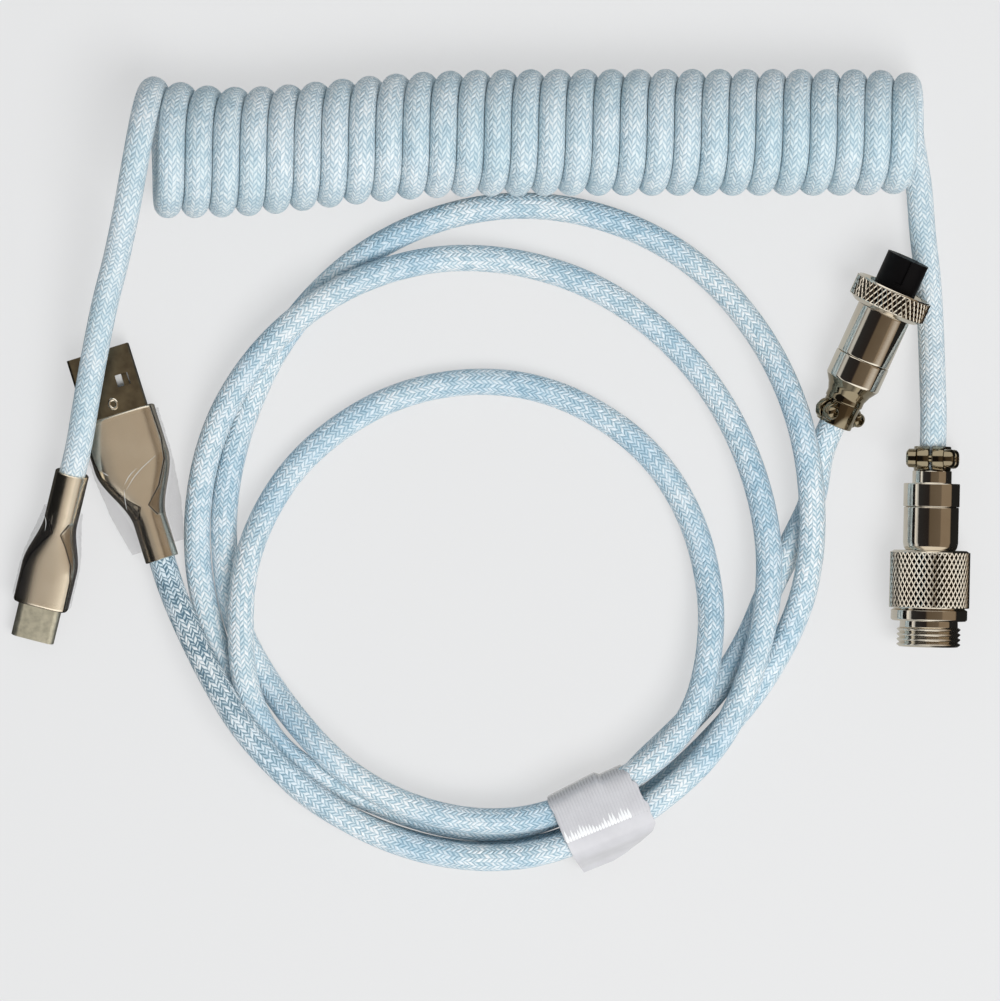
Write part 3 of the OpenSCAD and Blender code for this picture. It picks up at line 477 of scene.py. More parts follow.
def hostRoute():
    turn = radians(hank["tieTurn"])
    lead = cord["diameter"] * Vector((cos(turn), sin(turn), 0))
    first, last = hank["tieAngle"], hank["tieAngle"] + 360 * hank["loops"]
    start, end = loopPoint(first), loopPoint(last)
    angles = np.arange(first + hank["startGap"], last - hank["endGap"], hank["step"])
    run = [
        (-58.4, -26.7, 5.8), (-55.5, -32.8, 7.6), (-51.3, -40.6, 9.8), (-46.5, -48, 11.7), (-40.4, -55, 12),
        (-32.4, -61.9, 10), (-23.5, -67.4, 8.6), (-12.7, -71.4, 8.5), (-1.5, -73, 8.5), (8.5, -72.2, 8.6),
    ]
    tail = [
        (30, -54.7, 2.7), (37.1, -47.9, lie), (43.5, -40.7, lie), (48.9, -32, lie), (53, -22.6, lie),
        (57.4, -13.6, lie), (61, -5.8, lie),
    ]
    return [
        along(usbAPlace, cord["depth"]), along(usbAPlace, -cord["straight"]), *[Vector(p) for p in run],
        start - lead, start, start + lead, *[loopPoint(a) for a in angles],
        end - lead, end, end + lead, *[Vector(p) for p in tail],
        along(plugPlace, -cord["straight"]), along(plugPlace, cord["depth"]),
    ]


def smoothRoute(points, step, perSpan=12):
    # one curve through the points, then even steps along it
    def mix(t, first, last, a, b):
        return (last - t) / (last - first) * a + (t - first) / (last - first) * b

    knots = np.array([tuple(p) for p in points])
    knots = np.vstack([2 * knots[0] - knots[1], knots, 2 * knots[-1] - knots[-2]])
    times = np.concatenate([[0], np.cumsum(np.sqrt(np.linalg.norm(np.diff(knots, axis=0), axis=1)))])
    curve = []
    for i in range(1, len(knots) - 2):
        p0, p1, p2, p3 = knots[i - 1:i + 3]
        t0, t1, t2, t3 = times[i - 1:i + 3]
        for t in np.linspace(t1, t2, perSpan, endpoint=False):
            a1, a2, a3 = mix(t, t0, t1, p0, p1), mix(t, t1, t2, p1, p2), mix(t, t2, t3, p2, p3)
            curve.append(mix(t, t1, t2, mix(t, t0, t2, a1, a2), mix(t, t1, t3, a2, a3)))
    curve = np.array(curve + [knots[-2]])
    reach = np.concatenate([[0], np.cumsum(np.linalg.norm(np.diff(curve, axis=0), axis=1))])
    marks = np.linspace(0, reach[-1], int(reach[-1] / step) + 1)
    line = np.stack([np.interp(marks, reach, curve[:, k]) for k in range(3)], axis=1)
    return line, reach[-1]


def directions(line):
    steps = np.gradient(line, axis=0)
    return steps / np.linalg.norm(steps, axis=1)[:, None]


def cordTube(line, length):
    headings = directions(line)
    side = np.cross(headings[0], (0, 0, 1.0))
    sides = []
    for h in headings:
        side = side - np.dot(side, h) * h
        side = side / np.linalg.norm(side)
        sides.append(side)
    sides = np.array(sides)
    ups = np.cross(headings, sides)
    last = len(line) - 1

    def ring(u, v):
        i = round(v * last)
        turn = 2 * pi * u
        spoke = cos(turn) * sides[i] + sin(turn) * ups[i]
        return Vector(line[i] + (cordRadius + cord["loft"]) * spoke)

    def stitches(co, uv):
        return uv.x * cord["columns"], uv.y * length / cord["stitch"]

    bm = wrappedSheet(cord["sides"], last, ring, "braidMap")
    fillMap(bm, "braidMap", bm.faces, stitches)
    bmesh.ops.holes_fill(bm, edges=[e for e in bm.edges if e.is_boundary], sides=0)
    faceOut(bm)
    return bm


# Braid: columns of slanted stitches that lean the other way in every second column
braid = {
    "slant": 0.78, "wander": 0.8, "wanderGrain": 700, "crownPower": 0.6, "edgePower": 5.0, "edgeDip": 0.45,
    "threads": 6.0, "threadShift": 7.3, "coolGrain": 60, "coolFrom": 0.4, "coolSpan": 0.25,
    "deepFrom": 0.3, "deepSpan": 0.4, "depth": 0.22,
    "surface": {"Roughness": 0.6, "Specular IOR Level": 0.25, "Sheen Weight": 0.15},
}
# gap is painted shade between the stitches and light a painted highlight on their crowns; yarn is the yarn's
# own colour
softBraid = {
    "gap": (0.44, 0.58, 0.66), "yarn": (0.64, 0.76, 0.82), "light": (0.90, 0.95, 0.96),
    "uneven": 0.6, "fibre": 0.36, "relief": 0.8, "cool": (0.84, 0.91, 0.93),
}
openBraid = {
    "gap": (0.36, 0.52, 0.61), "yarn": (0.62, 0.76, 0.82), "light": (0.94, 0.97, 0.98),
    "uneven": 0.75, "fibre": 0.46, "relief": 0.9, "cool": (0.76, 0.86, 0.93),
    # along the first stretch from the USB-A plug the gaps between stitches get a darker painted shade
    "open": (25, 45), "deep": (0.13, 0.23, 0.30),
}


def braidFinish(name, look):
    finish, tree, shader = startFinish(name)
    u, v = fromMap(tree, "braidMap")
    column, across = u.calc("FLOOR"), u.calc("FRACT")
    odd = column.calc("MODULO", 2.0)
    skew = (across - 0.5) * braid["slant"] * (odd * 2.0 - 1.0)
    wander = grain(tree, braid["wanderGrain"]) * braid["wander"] - braid["wander"] / 2
    row = v + skew + (odd * 0.5 + wander)
    crown = 1 - fromMiddle(row.calc("FRACT"))
    dip = fromMiddle(across) ** braid["edgePower"] * -braid["edgeDip"] + 1.0
    body = crown ** braid["crownPower"] * dip
    cell = {"Vector": pairUp(row.calc("FLOOR"), column)}
    dice = newNode(tree, "TexWhiteNoise", cell, noise_dimensions="2D")
    luck = Value(dice["Value"]) * look["uneven"] - look["uneven"] / 2
    strand = pairUp(row * braid["threads"], column * braid["threadShift"] + across)
    thread = newNode(tree, "TexNoise", {"Vector": strand, "Scale": 1.0}, noise_dimensions="2D")
    fibre = Value(thread["Fac"]) * (2 * look["fibre"]) - look["fibre"]
    tone = body + luck + fibre
    # the tone paints shade into the gaps and a highlight onto the stitches' crowns
    yarn = ramp(tone, [(0.0, look["gap"]), (0.5, look["yarn"]), (1.0, look["light"])])
    cool = upTo(grain(tree, braid["coolGrain"], 3.0), braid["coolFrom"], braid["coolSpan"])
    shade = tint(cool, yarn, look["cool"], "MULTIPLY")
    # painted shade: darker gaps near the USB-A plug
    if "open" in look:
        near = 1 - upTo(v, *look["open"])
        deep = 1 - upTo(tone, braid["deepFrom"], braid["deepSpan"])
        shade = tint(near * deep, shade, look["deep"])
    setInputs(shader, {"Base Color": shade, **braid["surface"]})
    relief(shader, body, look["relief"], braid["depth"])
    return finish


coilBraid = braidFinish("coilBraid", softBraid)
hankBraid = braidFinish("hankBraid", openBraid)

keyboardLine, keyboardLength = smoothRoute(keyboardRoute(), cord["ringStep"])
hostLine, hostLength = smoothRoute(hostRoute(), cord["ringStep"])
for line in (keyboardLine, hostLine):
    line[:, 2] = np.maximum(line[:, 2], cordRadius + cord["loft"])
keyboardLead = addPiece(
    "keyboardLead", cordTube(keyboardLine, keyboardLength), coilBraid, None,
    ("keyboard_tail_cord", "coil_cord", "socket_tail_cord"),
)
hostLead = addPiece(
    "hostLead", cordTube(hostLine, hostLength), hankBraid, "cable_set",
    ("host_run_cord", "host_loops", "plug_tail_cord"),
)
print("leads laid: %.0f mm and %.0f mm" % (keyboardLength, hostLength))

# Metal and plastic finishes
fineDepth = 0.02
nickel = {
    "dark": (0.68, 0.62, 0.54), "light": (0.76, 0.72, 0.64), "metallic": 1.0, "roughness": 0.04,
    "spread": 0.08, "cloud": 150, "grain": 2500, "relief": 0.10,
}
steel = {
    "dark": (0.50, 0.49, 0.40), "light": (0.72, 0.70, 0.58), "metallic": 0.9, "roughness": 0.3,
    "spread": 0.2, "cloud": 900, "grain": 4000, "relief": 0.5,
}
darkSteel = {
    "dark": (0.12, 0.10, 0.07), "light": (0.20, 0.17, 0.115), "metallic": 0.95, "roughness": 0.22,
    "spread": 0.2, "cloud": 500, "grain": 4000, "relief": 0.3,
}
gold = {
    "dark": (0.75, 0.50, 0.18), "light": (0.88, 0.64, 0.26), "metallic": 1.0, "roughness": 0.18,
    "spread": 0.1, "cloud": 300, "grain": 3000, "relief": 0.1,
}
satin = {
    "dark": (0.74, 0.67, 0.56), "light": (0.82, 0.76, 0.65), "metallic": 1.0, "roughness": 0.24,
    # facetShade paints the side facets beyond the seams darker, as painted shade; line is the seams' dark
    # joint
    "spread": 0.06, "cloud": 120, "grain": 400, "relief": 0.6, "depth": 0.1, "facetShade": 0.72,
    "line": (0.10, 0.08, 0.06), "lineWidth": 0.17, "lineGain": 1.6,
}
plastic = {"cloud": 700, "grain": 3000, "spread": 0.15, "fine": 5000, "relief": 0.15, "fleck": 0.12}


def metalFinish(name, look):
    finish, tree, shader = startFinish(name)
    shade = mottled(tree, look["cloud"], look["dark"], look["light"])
    if "shaded" in look:
        shade = tint(fromMap(tree, "shadeMap")[0], shade, look["shaded"], "MULTIPLY")
    rough = grain(tree, look["grain"], 4.0) * look["spread"] + look["roughness"]
    setInputs(shader, {"Base Color": shade, "Metallic": look["metallic"], "Roughness": rough})
    relief(shader, grain(tree, look["grain"], 4.0, 0.6), look["relief"], fineDepth)
    return finish


def plasticFinish(name, colour, roughness, shine=0.3):
    finish, tree, shader = startFinish(name)
    darker = tuple(c * (1 - plastic["fleck"]) for c in colour)
    shade = mottled(tree, plastic["cloud"], darker, colour)
    rough = grain(tree, plastic["grain"]) * plastic["spread"] + roughness
    setInputs(shader, {"Base Color": shade, "Roughness": rough, "Specular IOR Level": shine})
    relief(shader, grain(tree, plastic["fine"]), plastic["relief"], fineDepth)
    return finish


polished = metalFinish("polishedNickel", nickel)
# painted shade: the knurl's sunk diamonds are painted near black
knurled = metalFinish("knurledNickel", {**nickel, "shaded": (0.06, 0.054, 0.045)})
# painted shade: the clamp halves, their screws and the plug's back cone are painted darker
clamped = metalFinish("clampNickel", {**nickel, "shaded": (0.36, 0.33, 0.26)})
paleSteel = metalFinish("paleSteel", steel)
plugSteel = metalFinish("plugSteel", darkSteel)
goldContact = metalFinish("goldContact", gold)
blackPlastic = plasticFinish("blackPlastic", (0.004, 0.0036, 0.004), 0.45, shine=0.1)
whitePlastic = plasticFinish("whitePlastic", (0.82, 0.82, 0.80), 0.4)
greenBoard = plasticFinish("greenBoard", (0.02, 0.16, 0.06), 0.4)
redWire = plasticFinish("wireInsulation", (0.45, 0.04, 0.03), 0.45)
insideFinishes = (
    (paleSteel, "usb_c_shell"),
    # the USB-A contacts take the dark plug steel instead of gold, as painted shade inside the shell's windows
    (plugSteel, "usb_a_shell", "usb_a_contacts"),
    (polished, "snap_ring"),
    (blackPlastic, "usb_c_contact_block", "socket_insulator", "plug_core"),
    (whitePlastic, "usb_a_tongue", "usb_a_block", "usb_c_block"),
    (goldContact, "usb_c_contacts", "socket_pins", "plug_contacts"),
    (greenBoard, "usb_c_board"),
    (redWire, "usb_c_wires", "usb_a_wires", "socket_wires", "plug_wires"),
)
for finish, *nodeNames in insideFinishes:
    for nodeName in nodeNames:
        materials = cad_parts[nodeName].data.materials
        materials.clear()
        materials.append(finish)
print("finishes mixed")


# Turned metal: a profile spun round the connector's axis
def held(profile, hold=0.3):
    # rings near the ends of each long straight keep its shading even
    points = []
    for (z0, r0), (z1, r1) in zip(profile, profile[1:] + profile[:1]):
        points.append((z0, r0))
        span = hypot(z1 - z0, r1 - r0)
        if span > 3 * hold:
            points += [(z0 + (z1 - z0) * t, r0 + (r1 - r0) * t) for t in (hold / span, 1 - hold / span)]
    return points


def turned(profile, edge, steps=96):
    bm = bmesh.new()
    verts = [bm.verts.new((r, 0, z)) for z, r in (held(profile) if edge else profile)]
    edges = [bm.edges.new(pair) for pair in zip(verts, verts[1:] + verts[:1])]
    bmesh.ops.spin(
        bm, geom=verts + edges, cent=(0, 0, 0), axis=(0, 0, 1), dvec=(0, 0, 0),
        angle=2 * pi, steps=steps, use_merge=True,
    )
    weld(bm)
    faceOut(bm)
    if edge:
        softenEdges(bm, 30, edge, 2)
    return bm


# marks faces that a finish paints with its shaded colour, as painted shade
def darken(bm, faces):
    return fillMap(bm, "shadeMap", faces, lambda co, uv: (1, 0))


def knurl(radius, start, end, columns, rows, steps):
    # every cell's middle joins its corners, then its old edges go, which leaves diamonds to sink
    bm = bmesh.new()
    bmesh.ops.create_grid(bm, x_segments=columns, y_segments=rows, size=0.5)
    cellEdges = bm.edges[:]
    bmesh.ops.poke(bm, faces=bm.faces[:])
    bmesh.ops.dissolve_edges(bm, edges=[e for e in cellEdges if not e.is_boundary])
    for vert in bm.verts:
        turn = 2 * pi * (vert.co.x + 0.5)
        z = start + (end - start) * (vert.co.y + 0.5)
        vert.co = (radius * cos(turn), radius * sin(turn), z)
    weld(bm)
    seam = [e for e in bm.edges if all(v.co.x > 0 and abs(v.co.y) < 1e-4 for v in e.verts)]
    bmesh.ops.dissolve_edges(bm, edges=seam)
    diamonds = bm.faces[:]
    for inset, rise in steps:
        sunk = bmesh.ops.inset_individual(
            bm, faces=diamonds, thickness=inset, depth=rise, use_even_offset=True,
        )
    # the sunk diamonds are marked for painted shade
    return darken(bm, diamonds + sunk["faces"])


# Cable clamp: two halves with round ears, held by two screws
clamp = {
    "length": 4.6, "width": 10.6, "gap": 0.5, "wall": 1.0, "bore": 2.5, "soft": 0.2, "earRoot": 0.25,
    "earInset": 0.2,
}
screw = {
    "shank": 0.7, "out": 0.3, "drive": 0.62, "driveDepth": 0.5, "driveTaper": 0.8, "dome": 0.9, "flat": 0.45,
    "nutEdge": (0.4, 0.5, 0.05),
}
clampReach = clamp["bore"] + clamp["wall"]
earMiddle = (clamp["width"] + 2 * clampReach) / 4 - clamp["earInset"]


def arc(radius, first, last, count, x=0):
    turns = np.radians(np.linspace(first, last, count))
    return [(x + radius * cos(t), radius * sin(t)) for t in turns]


def softPlate(outline, thickness, soft):
    bm = bmesh.new()
    face = bm.faces.new([bm.verts.new((x, y, 0)) for x, y in outline])
    grown = bmesh.ops.extrude_face_region(bm, geom=[face])["geom"]
    raised = [g for g in grown if isinstance(g, bmesh.types.BMVert)]
    bmesh.ops.translate(bm, verts=raised, vec=(0, 0, thickness))
    faceOut(bm)
    softenEdges(bm, 40, soft, 3)
    return bm


def halfClamp(side, fit):
    near = clamp["gap"] / 2
    outside, inside = (degrees(asin(near / r)) for r in (clampReach, clamp["bore"]))
    outline = [*arc(clampReach, outside, 180 - outside, 25), *arc(clamp["bore"], 180 - inside, inside, 25)]
    bm = softPlate(outline, clamp["length"], clamp["soft"])
    reach = fit["earRound"]
    root = clamp["bore"] + clamp["earRoot"]
    ear = [(root, -reach), *arc(reach, -90, 90, 17, clamp["width"] / 2 - reach), (root, reach)]
    for way in (-1, 1):
        one = softPlate(ear, fit["ear"], fit["soft"])
        stand = ((way, 0, 0, 0), (0, 0, 1, near), (0, 1, 0, clamp["length"] / 2), (0, 0, 0, 1))
        one.transform(Matrix(stand))
        joinInto(bm, one)
    bm.transform(Matrix.Diagonal((1, side, 1, 1)))
    faceOut(bm)
    bm.transform(spun(fit["turn"], "Z"))
    # the whole half is marked for painted shade
    return darken(bm, bm.faces)


def clampScrews(fit):
    r, shank, drive, flat = fit["headRound"], screw["shank"], screw["drive"], screw["flat"]
    top = clamp["gap"] / 2 + fit["ear"]
    crest = top + fit["head"]
    floor = crest - screw["driveDepth"]
    foot = -top - max(screw["out"], fit["nut"])
    rise = min(fit["head"], screw["dome"])
    dome = [
        (crest - rise + rise * sin(t), r * (flat + (1 - flat) * cos(t)))
        for t in np.radians([0, 25, 50, 75])
    ]
    tail = [(foot, 0), (foot, shank)]
    if fit["nut"]:
        bevel, flatDrop, edgeDrop = screw["nutEdge"]
        seat = foot + fit["nut"]
        tail = [(foot, 0), (foot, r - flatDrop), (foot + bevel, r - edgeDrop), (seat, r), (seat, shank)]
    recess = [(crest, drive), (floor, screw["driveTaper"] * drive), (floor, 0)]
    profile = [*tail, (top, shank), (top, r), *dome, *recess]
    bm = bmesh.new()
    upright = spun(-90, "X")
    for x in (-earMiddle, earMiddle):
        one = turned(profile, 0, 32)
        one.transform(Matrix.Translation((x, 0, clamp["length"] / 2)) @ upright)
        joinInto(bm, one)
    bm.transform(spun(fit["turn"], "Z"))
    # the screws are marked for painted shade
    return darken(bm, bm.faces)


def nickelPieces(body, place, pieces):
    made = []
    for name, bm, finish, node in pieces:
        sharp = knurlSharp if finish is knurled else plainSharp
        made.append(addPiece(name, bm, finish, body, (node,), place, sharp))
    return made


# gap between turned parts
seatGap = 0.05
# inset and rise of each step of a knurl's diamond
diamond = [(0.14, -0.085), (0.07, -0.08)]
diamondDrop = sum(rise for inset, rise in diamond) - 0.02

# Inline socket, in stations from the rear of its clamp
socket = {
    "neck": 3.7, "ringZ": 7.0, "ring": 5.3, "sleeveZ": 11.4, "sleeve": 5.2, "barrelZ": 19.6, "barrel": 7.55,
    "flangeZ": 30.6, "flange": 7.2, "undercutZ": 32.9, "undercut": 5.45, "threadZ": 34.0, "thread": 6.0,
    "tip": 37.8, "root": 5.5, "crests": 4, "mouth": 4.3, "mouthZ": 27.8, "bore": 3.76, "spigot": 4.65,
    "spigotL": 2.8, "columns": 47, "rows": 6, "stop": 2.52,
    # distance from each end of the sleeve, and how far its edge drops there
    "sleeveRear": [(0.05, 0.12), (0.2, 0)],
    "sleeveFront": [(1.4, 0), (0.5, 0.18), (0.05, 0.45)],
    # share of the pitch, and the radius there
    "threadForm": [(0.1, "root"), (0.4, "thread"), (0.6, "thread")],
    "clamp": {
        "turn": -80, "ear": 2.4, "earRound": 2.25, "soft": 1.0, "head": 2.0, "headRound": 1.8, "nut": 1.8,
    },
}


def socketBackShell():
    s = socket
    front = s["sleeveZ"] + s["spigotL"]
    bm = turned([
        (clamp["length"], s["stop"]), (clamp["length"], s["neck"]), (s["ringZ"], s["neck"]),
        (s["ringZ"], s["ring"]), (s["sleeveZ"], s["ring"]), (s["sleeveZ"], s["spigot"]),
        (front, s["spigot"]), (front, s["stop"]),
    ], edge=0.16)
    bm.loops.layers.uv.new("shadeMap")
    return joinInto(bm, halfClamp(-1, s["clamp"]))


def socketSleeve():
    start, end, radius = socket["sleeveZ"], socket["barrelZ"], socket["sleeve"]
    inside = socket["spigot"] + seatGap
    rear = [(start + z, radius - drop) for z, drop in socket["sleeveRear"]]
    front = [(end - z, radius - drop) for z, drop in socket["sleeveFront"]]
    return turned([(start + seatGap, inside), *rear, *front, (end - seatGap, inside)], edge=0.08)


def socketBarrel():
    s = socket
    core = s["barrel"] + diamondDrop
    start, end = s["barrelZ"], s["flangeZ"]
    pitch = (s["tip"] - s["threadZ"]) / s["crests"]
    thread = []
    for k in range(s["crests"]):
        z = s["threadZ"] + k * pitch
        thread += [(z + share * pitch, s[level]) for share, level in s["threadForm"]]
    bm = turned([
        (start - s["spigotL"], s["bore"]), (start - s["spigotL"], s["spigot"]), (start, s["spigot"]),
        (start, core - 0.5), (start + 0.35, core), (end - 0.15, core), (end - 0.15, s["flange"] - 0.5),
        (end + 0.05, s["flange"] - 0.5), (end + 0.3, s["flange"]), (s["undercutZ"] - 0.3, s["flange"]),
        (s["undercutZ"], s["flange"] - 0.3), (s["undercutZ"], s["undercut"]), *thread, (s["tip"], s["root"]),
        (s["tip"], s["mouth"]), (s["mouthZ"], s["mouth"]), (s["mouthZ"], s["bore"]),
    ], edge=0.06, steps=120)
    bm.loops.layers.uv.new("shadeMap")
    return joinInto(bm, knurl(s["barrel"], start + 0.35, end - 0.2, s["columns"], s["rows"], diamond))


socketPieces = nickelPieces("socket_end", socketPlace, [
    ("socketBackShell", socketBackShell(), clamped, "socket_back_shell"),
    ("socketClampSaddle", halfClamp(1, socket["clamp"]), clamped, "socket_clamp_saddle"),
    ("socketClampScrews", clampScrews(socket["clamp"]), clamped, "socket_clamp_screws"),
    ("socketSleeve", socketSleeve(), polished, "socket_sleeve"),
    ("socketBarrel", socketBarrel(), knurled, "socket_barrel"),
])
print("socket turned")

# Keyed plug with its coupling nut, in stations from the rear of its clamp
plug = {
    "neck": 3.7, "coneZ": 5.8, "ringZ": 8.8, "ring": 5.3, "bodyZ": 13.5, "body": 5.2, "stopZ": 23.2,
    "seat": 4.95, "nutZ": 23.35, "nutTip": 28.15, "nut": 7.5, "nutBore": 5.55, "lip": 1.4, "lipBore": 5.02,
    "bore": 4.17, "spigot": 4.45, "spigotL": 2.8, "columns": 47, "rows": 2, "bodyTip": 1.2, "bodyWall": 1.4,
    # place behind the ring and swell over the neck, half way up the cone
    "coneMiddle": (1.6, 0.55),
    "clamp": {
        "turn": 50, "ear": 1.3, "earRound": 1.9, "soft": 0.25, "head": 1.2, "headRound": 1.4, "nut": 0,
    },
}


def plugBackShell():
    p = plug
    stop, front = socket["stop"], p["bodyZ"] + p["spigotL"]
    back, swell = p["coneMiddle"]
    bm = turned([
        (clamp["length"], stop), (clamp["length"], p["neck"]), (p["coneZ"], p["neck"]),
        (p["ringZ"] - back, p["neck"] + swell), (p["ringZ"], p["ring"]), (p["bodyZ"], p["ring"]),
        (p["bodyZ"], p["spigot"]), (front, p["spigot"]), (front, stop),
    ], edge=0.16)
    # painted shade on the cone behind the ring
    darken(bm, [f for f in bm.faces if max(v.co.z for v in f.verts) < p["ringZ"] - 0.1])
    return joinInto(bm, halfClamp(-1, p["clamp"]))


def plugBody():
    p = plug
    inside, tip = p["spigot"] + seatGap, p["nutTip"] - p["bodyTip"]
    rear = p["bodyZ"] + seatGap
    wall = p["bodyZ"] + p["spigotL"] + p["bodyWall"]
    return turned([
        (rear, inside), (rear, p["body"] - 0.1), (p["bodyZ"] + 0.2, p["body"]),
        (p["stopZ"], p["body"]), (p["stopZ"], p["seat"]), (tip, p["seat"]), (tip, p["bore"]),
        (wall, p["bore"]), (wall, inside),
    ], edge=0.08)


def couplingNut():
    p = plug
    core = p["nut"] + diamondDrop
    start, end, lip = p["nutZ"], p["nutTip"], p["nutZ"] + p["lip"]
    bm = turned([
        (start, p["lipBore"]), (start, p["nut"] - 1.3), (start + 0.8, core), (end - 0.3, core),
        (end, core - 0.1), (end, core - 0.35), (end - 1.0, p["nutBore"] + 0.4), (end - 1.6, p["nutBore"]),
        (lip, p["nutBore"]), (lip, p["lipBore"]),
    ], edge=0.05, steps=120)
    bm.loops.layers.uv.new("shadeMap")
    return joinInto(bm, knurl(p["nut"], start + 0.8, end - 0.25, p["columns"], p["rows"], diamond))


plugPieces = nickelPieces("cable_set", plugPlace, [
    ("plugBackShell", plugBackShell(), clamped, "plug_back_shell"),
    ("plugClampSaddle", halfClamp(1, plug["clamp"]), clamped, "plug_clamp_saddle"),
    ("plugClampScrews", clampScrews(plug["clamp"]), clamped, "plug_clamp_screws"),
    ("plugBody", plugBody(), polished, "plug_body"),
])
nickelPieces("coupling_nut", plugPlace, [("couplingNut", couplingNut(), knurled, "coupling_nut")])
print("plug turned")

# USB housings: a round collar that swells into a flat mouth, with a face panel cut in by two curved seams
housing = {
    "bore": 5.0, "boreDepth": 4.0, "collarEdge": 0.3, "firstZ": 0.15, "lastZ": 0.35, "round": 2.0,
    "square": 1.6, "mouthSquare": 6.0, "mouthDepth": 4, "seamStep": 0.3, "seamScale": 10, "columns": 160,
    "rings": 110, "sharp": 40,
    # distance from the mouth and how far the rim draws in there
    "rim": [(0.1, 0.25), (0, 0.7)],
}
usbA = {
    "length": 28.7, "width": 14.5, "thickness": 7.8, "collar": 6.4, "waist": 7.46, "shoulder": 19.52,
    "shellW": 12.2, "shellT": 4.7, "recess": 0.16,
    # place along the housing and half the panel's width there
    "seam": [(8.3, 1.9), (10.5, 0.8), (13.6, 3.8), (18, 6.2), (22, 6.8), (28.7, 6.6)],
}
usbC = {
    "length": 26.3, "width": 10.5, "thickness": 6.3, "collar": 6.4, "waist": 9.47, "shoulder": 18.94,
    "shellW": 8.45, "shellT": 2.76, "recess": 0.14,
    "seam": [(9.3, 1.9), (11.5, 0.8), (13.5, 2.2), (16.8, 3.95), (20, 4.6), (26.3, 4.75)],
}


def oval(turn, thickness, width, power):
    c, s = cos(turn), sin(turn)
    x = width / 2 * copysign(abs(c) ** (2 / power), c)
    y = thickness / 2 * copysign(abs(s) ** (2 / power), s)
    return x, y


def swellAt(size, z, ahead=0):
    return smoothStep((z - size["waist"] + ahead) / (size["shoulder"] - size["waist"] + ahead))


def swollen(size, key, swell):
    return size["collar"] + (size[key] - size["collar"]) * swell


def housingRings(size):
    bore, edge, soft = housing["bore"], size["collar"] - housing["collarEdge"], housing["round"]
    rings = [(housing["boreDepth"], bore, bore, soft), (0.0, bore, bore, soft), (0.0, edge, edge, soft)]
    for z in np.linspace(housing["firstZ"], size["length"] - housing["lastZ"], housing["rings"]):
        swell = swellAt(size, z)
        power = soft + housing["square"] * swell
        rings.append((z, swollen(size, "thickness", swell), swollen(size, "width", swell), power))
    z, thickness, width, power = rings[-1]
    for back, drop in housing["rim"]:
        rings.append((size["length"] - back, thickness - drop, width - drop, power))
    for back in (0, housing["mouthDepth"]):
        rings.append((size["length"] - back, size["shellT"], size["shellW"], housing["mouthSquare"]))
    return rings


def usbHousing(size):
    rings = housingRings(size)
    seamZ, seamX = zip(*size["seam"])
    # the rings between the collar's edge and the mouth
    outside = range(3, len(rings) - 2)

    def skin(u, v):
        k = round(v * (len(rings) - 1))
        z, thickness, width, power = rings[k]
        x, y = oval(2 * pi * u, thickness, width, power)
        if k in outside and seamZ[0] < z:
            past = abs(x) - np.interp(z, seamZ, seamX)
            y -= copysign(size["recess"] * smoothStep(past / housing["seamStep"]), y)
        return Vector((x, y, z))

    bm = wrappedSheet(housing["columns"], len(rings) - 1, skin)
    fillMap(bm, "panelMap", bm.faces, lambda co, uv: (co.x, co.z))
    faceOut(bm)
    return bm


def housingFinish(name, size, look):
    finish, tree, shader = startFinish(name)
    across, lengthwise = fromMap(tree, "panelMap")
    curve = tree.nodes.new("ShaderNodeFloatCurve")
    points = curve.mapping.curves[0].points
    seam = [(z / size["length"], x / housing["seamScale"]) for z, x in size["seam"]]
    while len(points) < len(seam):
        points.new(0.5, 0.5)
    for point, place in zip(points, seam):
        point.location = place
        point.handle_type = "VECTOR"
    curve.mapping.update()
    plugIn(curve.inputs["Value"], lengthwise / size["length"])
    past = abs(across) - Value(curve.outputs["Value"]) * housing["seamScale"]
    onFace = lengthwise > size["seam"][0][0]
    line = (1 - abs(past) / look["lineWidth"]).calc("MAXIMUM", 0.0) * onFace
    line = (line * look["lineGain"]).calc("MINIMUM", 1.0)
    plain = mottled(tree, look["cloud"], look["dark"], look["light"])
    # painted shade: the side facets beyond the seams are darker than the face panel
    shadedFacets = tint((past > 0.0) * onFace, plain, (look["facetShade"],) * 3, "MULTIPLY")
    rough = grain(tree, look["grain"], 3.0) * look["spread"] + (look["roughness"] - look["spread"] / 2)
    shade = tint(line, shadedFacets, look["line"])
    setInputs(shader, {"Base Color": shade, "Metallic": look["metallic"], "Roughness": rough})
    relief(shader, line * -1.0, look["relief"], look["depth"])
    return finish


for name, size, finishName, node, place in (
    ("usbAHousing", usbA, "usbASatin", "usb_a_housing", usbAPlace),
    ("usbCHousing", usbC, "usbCSatin", "usb_c_housing", usbCPlace),
):
    finish = housingFinish(finishName, size, satin)
    addPiece(name, usbHousing(size), finish, "cable_set", (node,), place, housing["sharp"])
print("USB housings shaped")

# Stamped ring on the USB-A shell
dimple = {
    "z": 30.67, "y": 2.25, "profile": [(-0.05, 0.5), (0.08, 0.66), (0.13, 0.82), (0.08, 1.0), (-0.05, 1.18)],
    "stretch": (0.85, 1.05, 1, 1), "sharp": 60,
}


def shellDimple():
    bm = turned(dimple["profile"], 0, 48)
    turn = spun(-90, "X")
    seat = Matrix.Translation((0, dimple["y"], dimple["z"]))
    bm.transform(seat @ turn @ Matrix.Diagonal(dimple["stretch"]))
    return bm


# the ring takes the bright polished nickel rather than the shell's dark steel, as a painted highlight
addPiece("usbADimple", shellDimple(), polished, "cable_set", (), usbAPlace, dimple["sharp"])

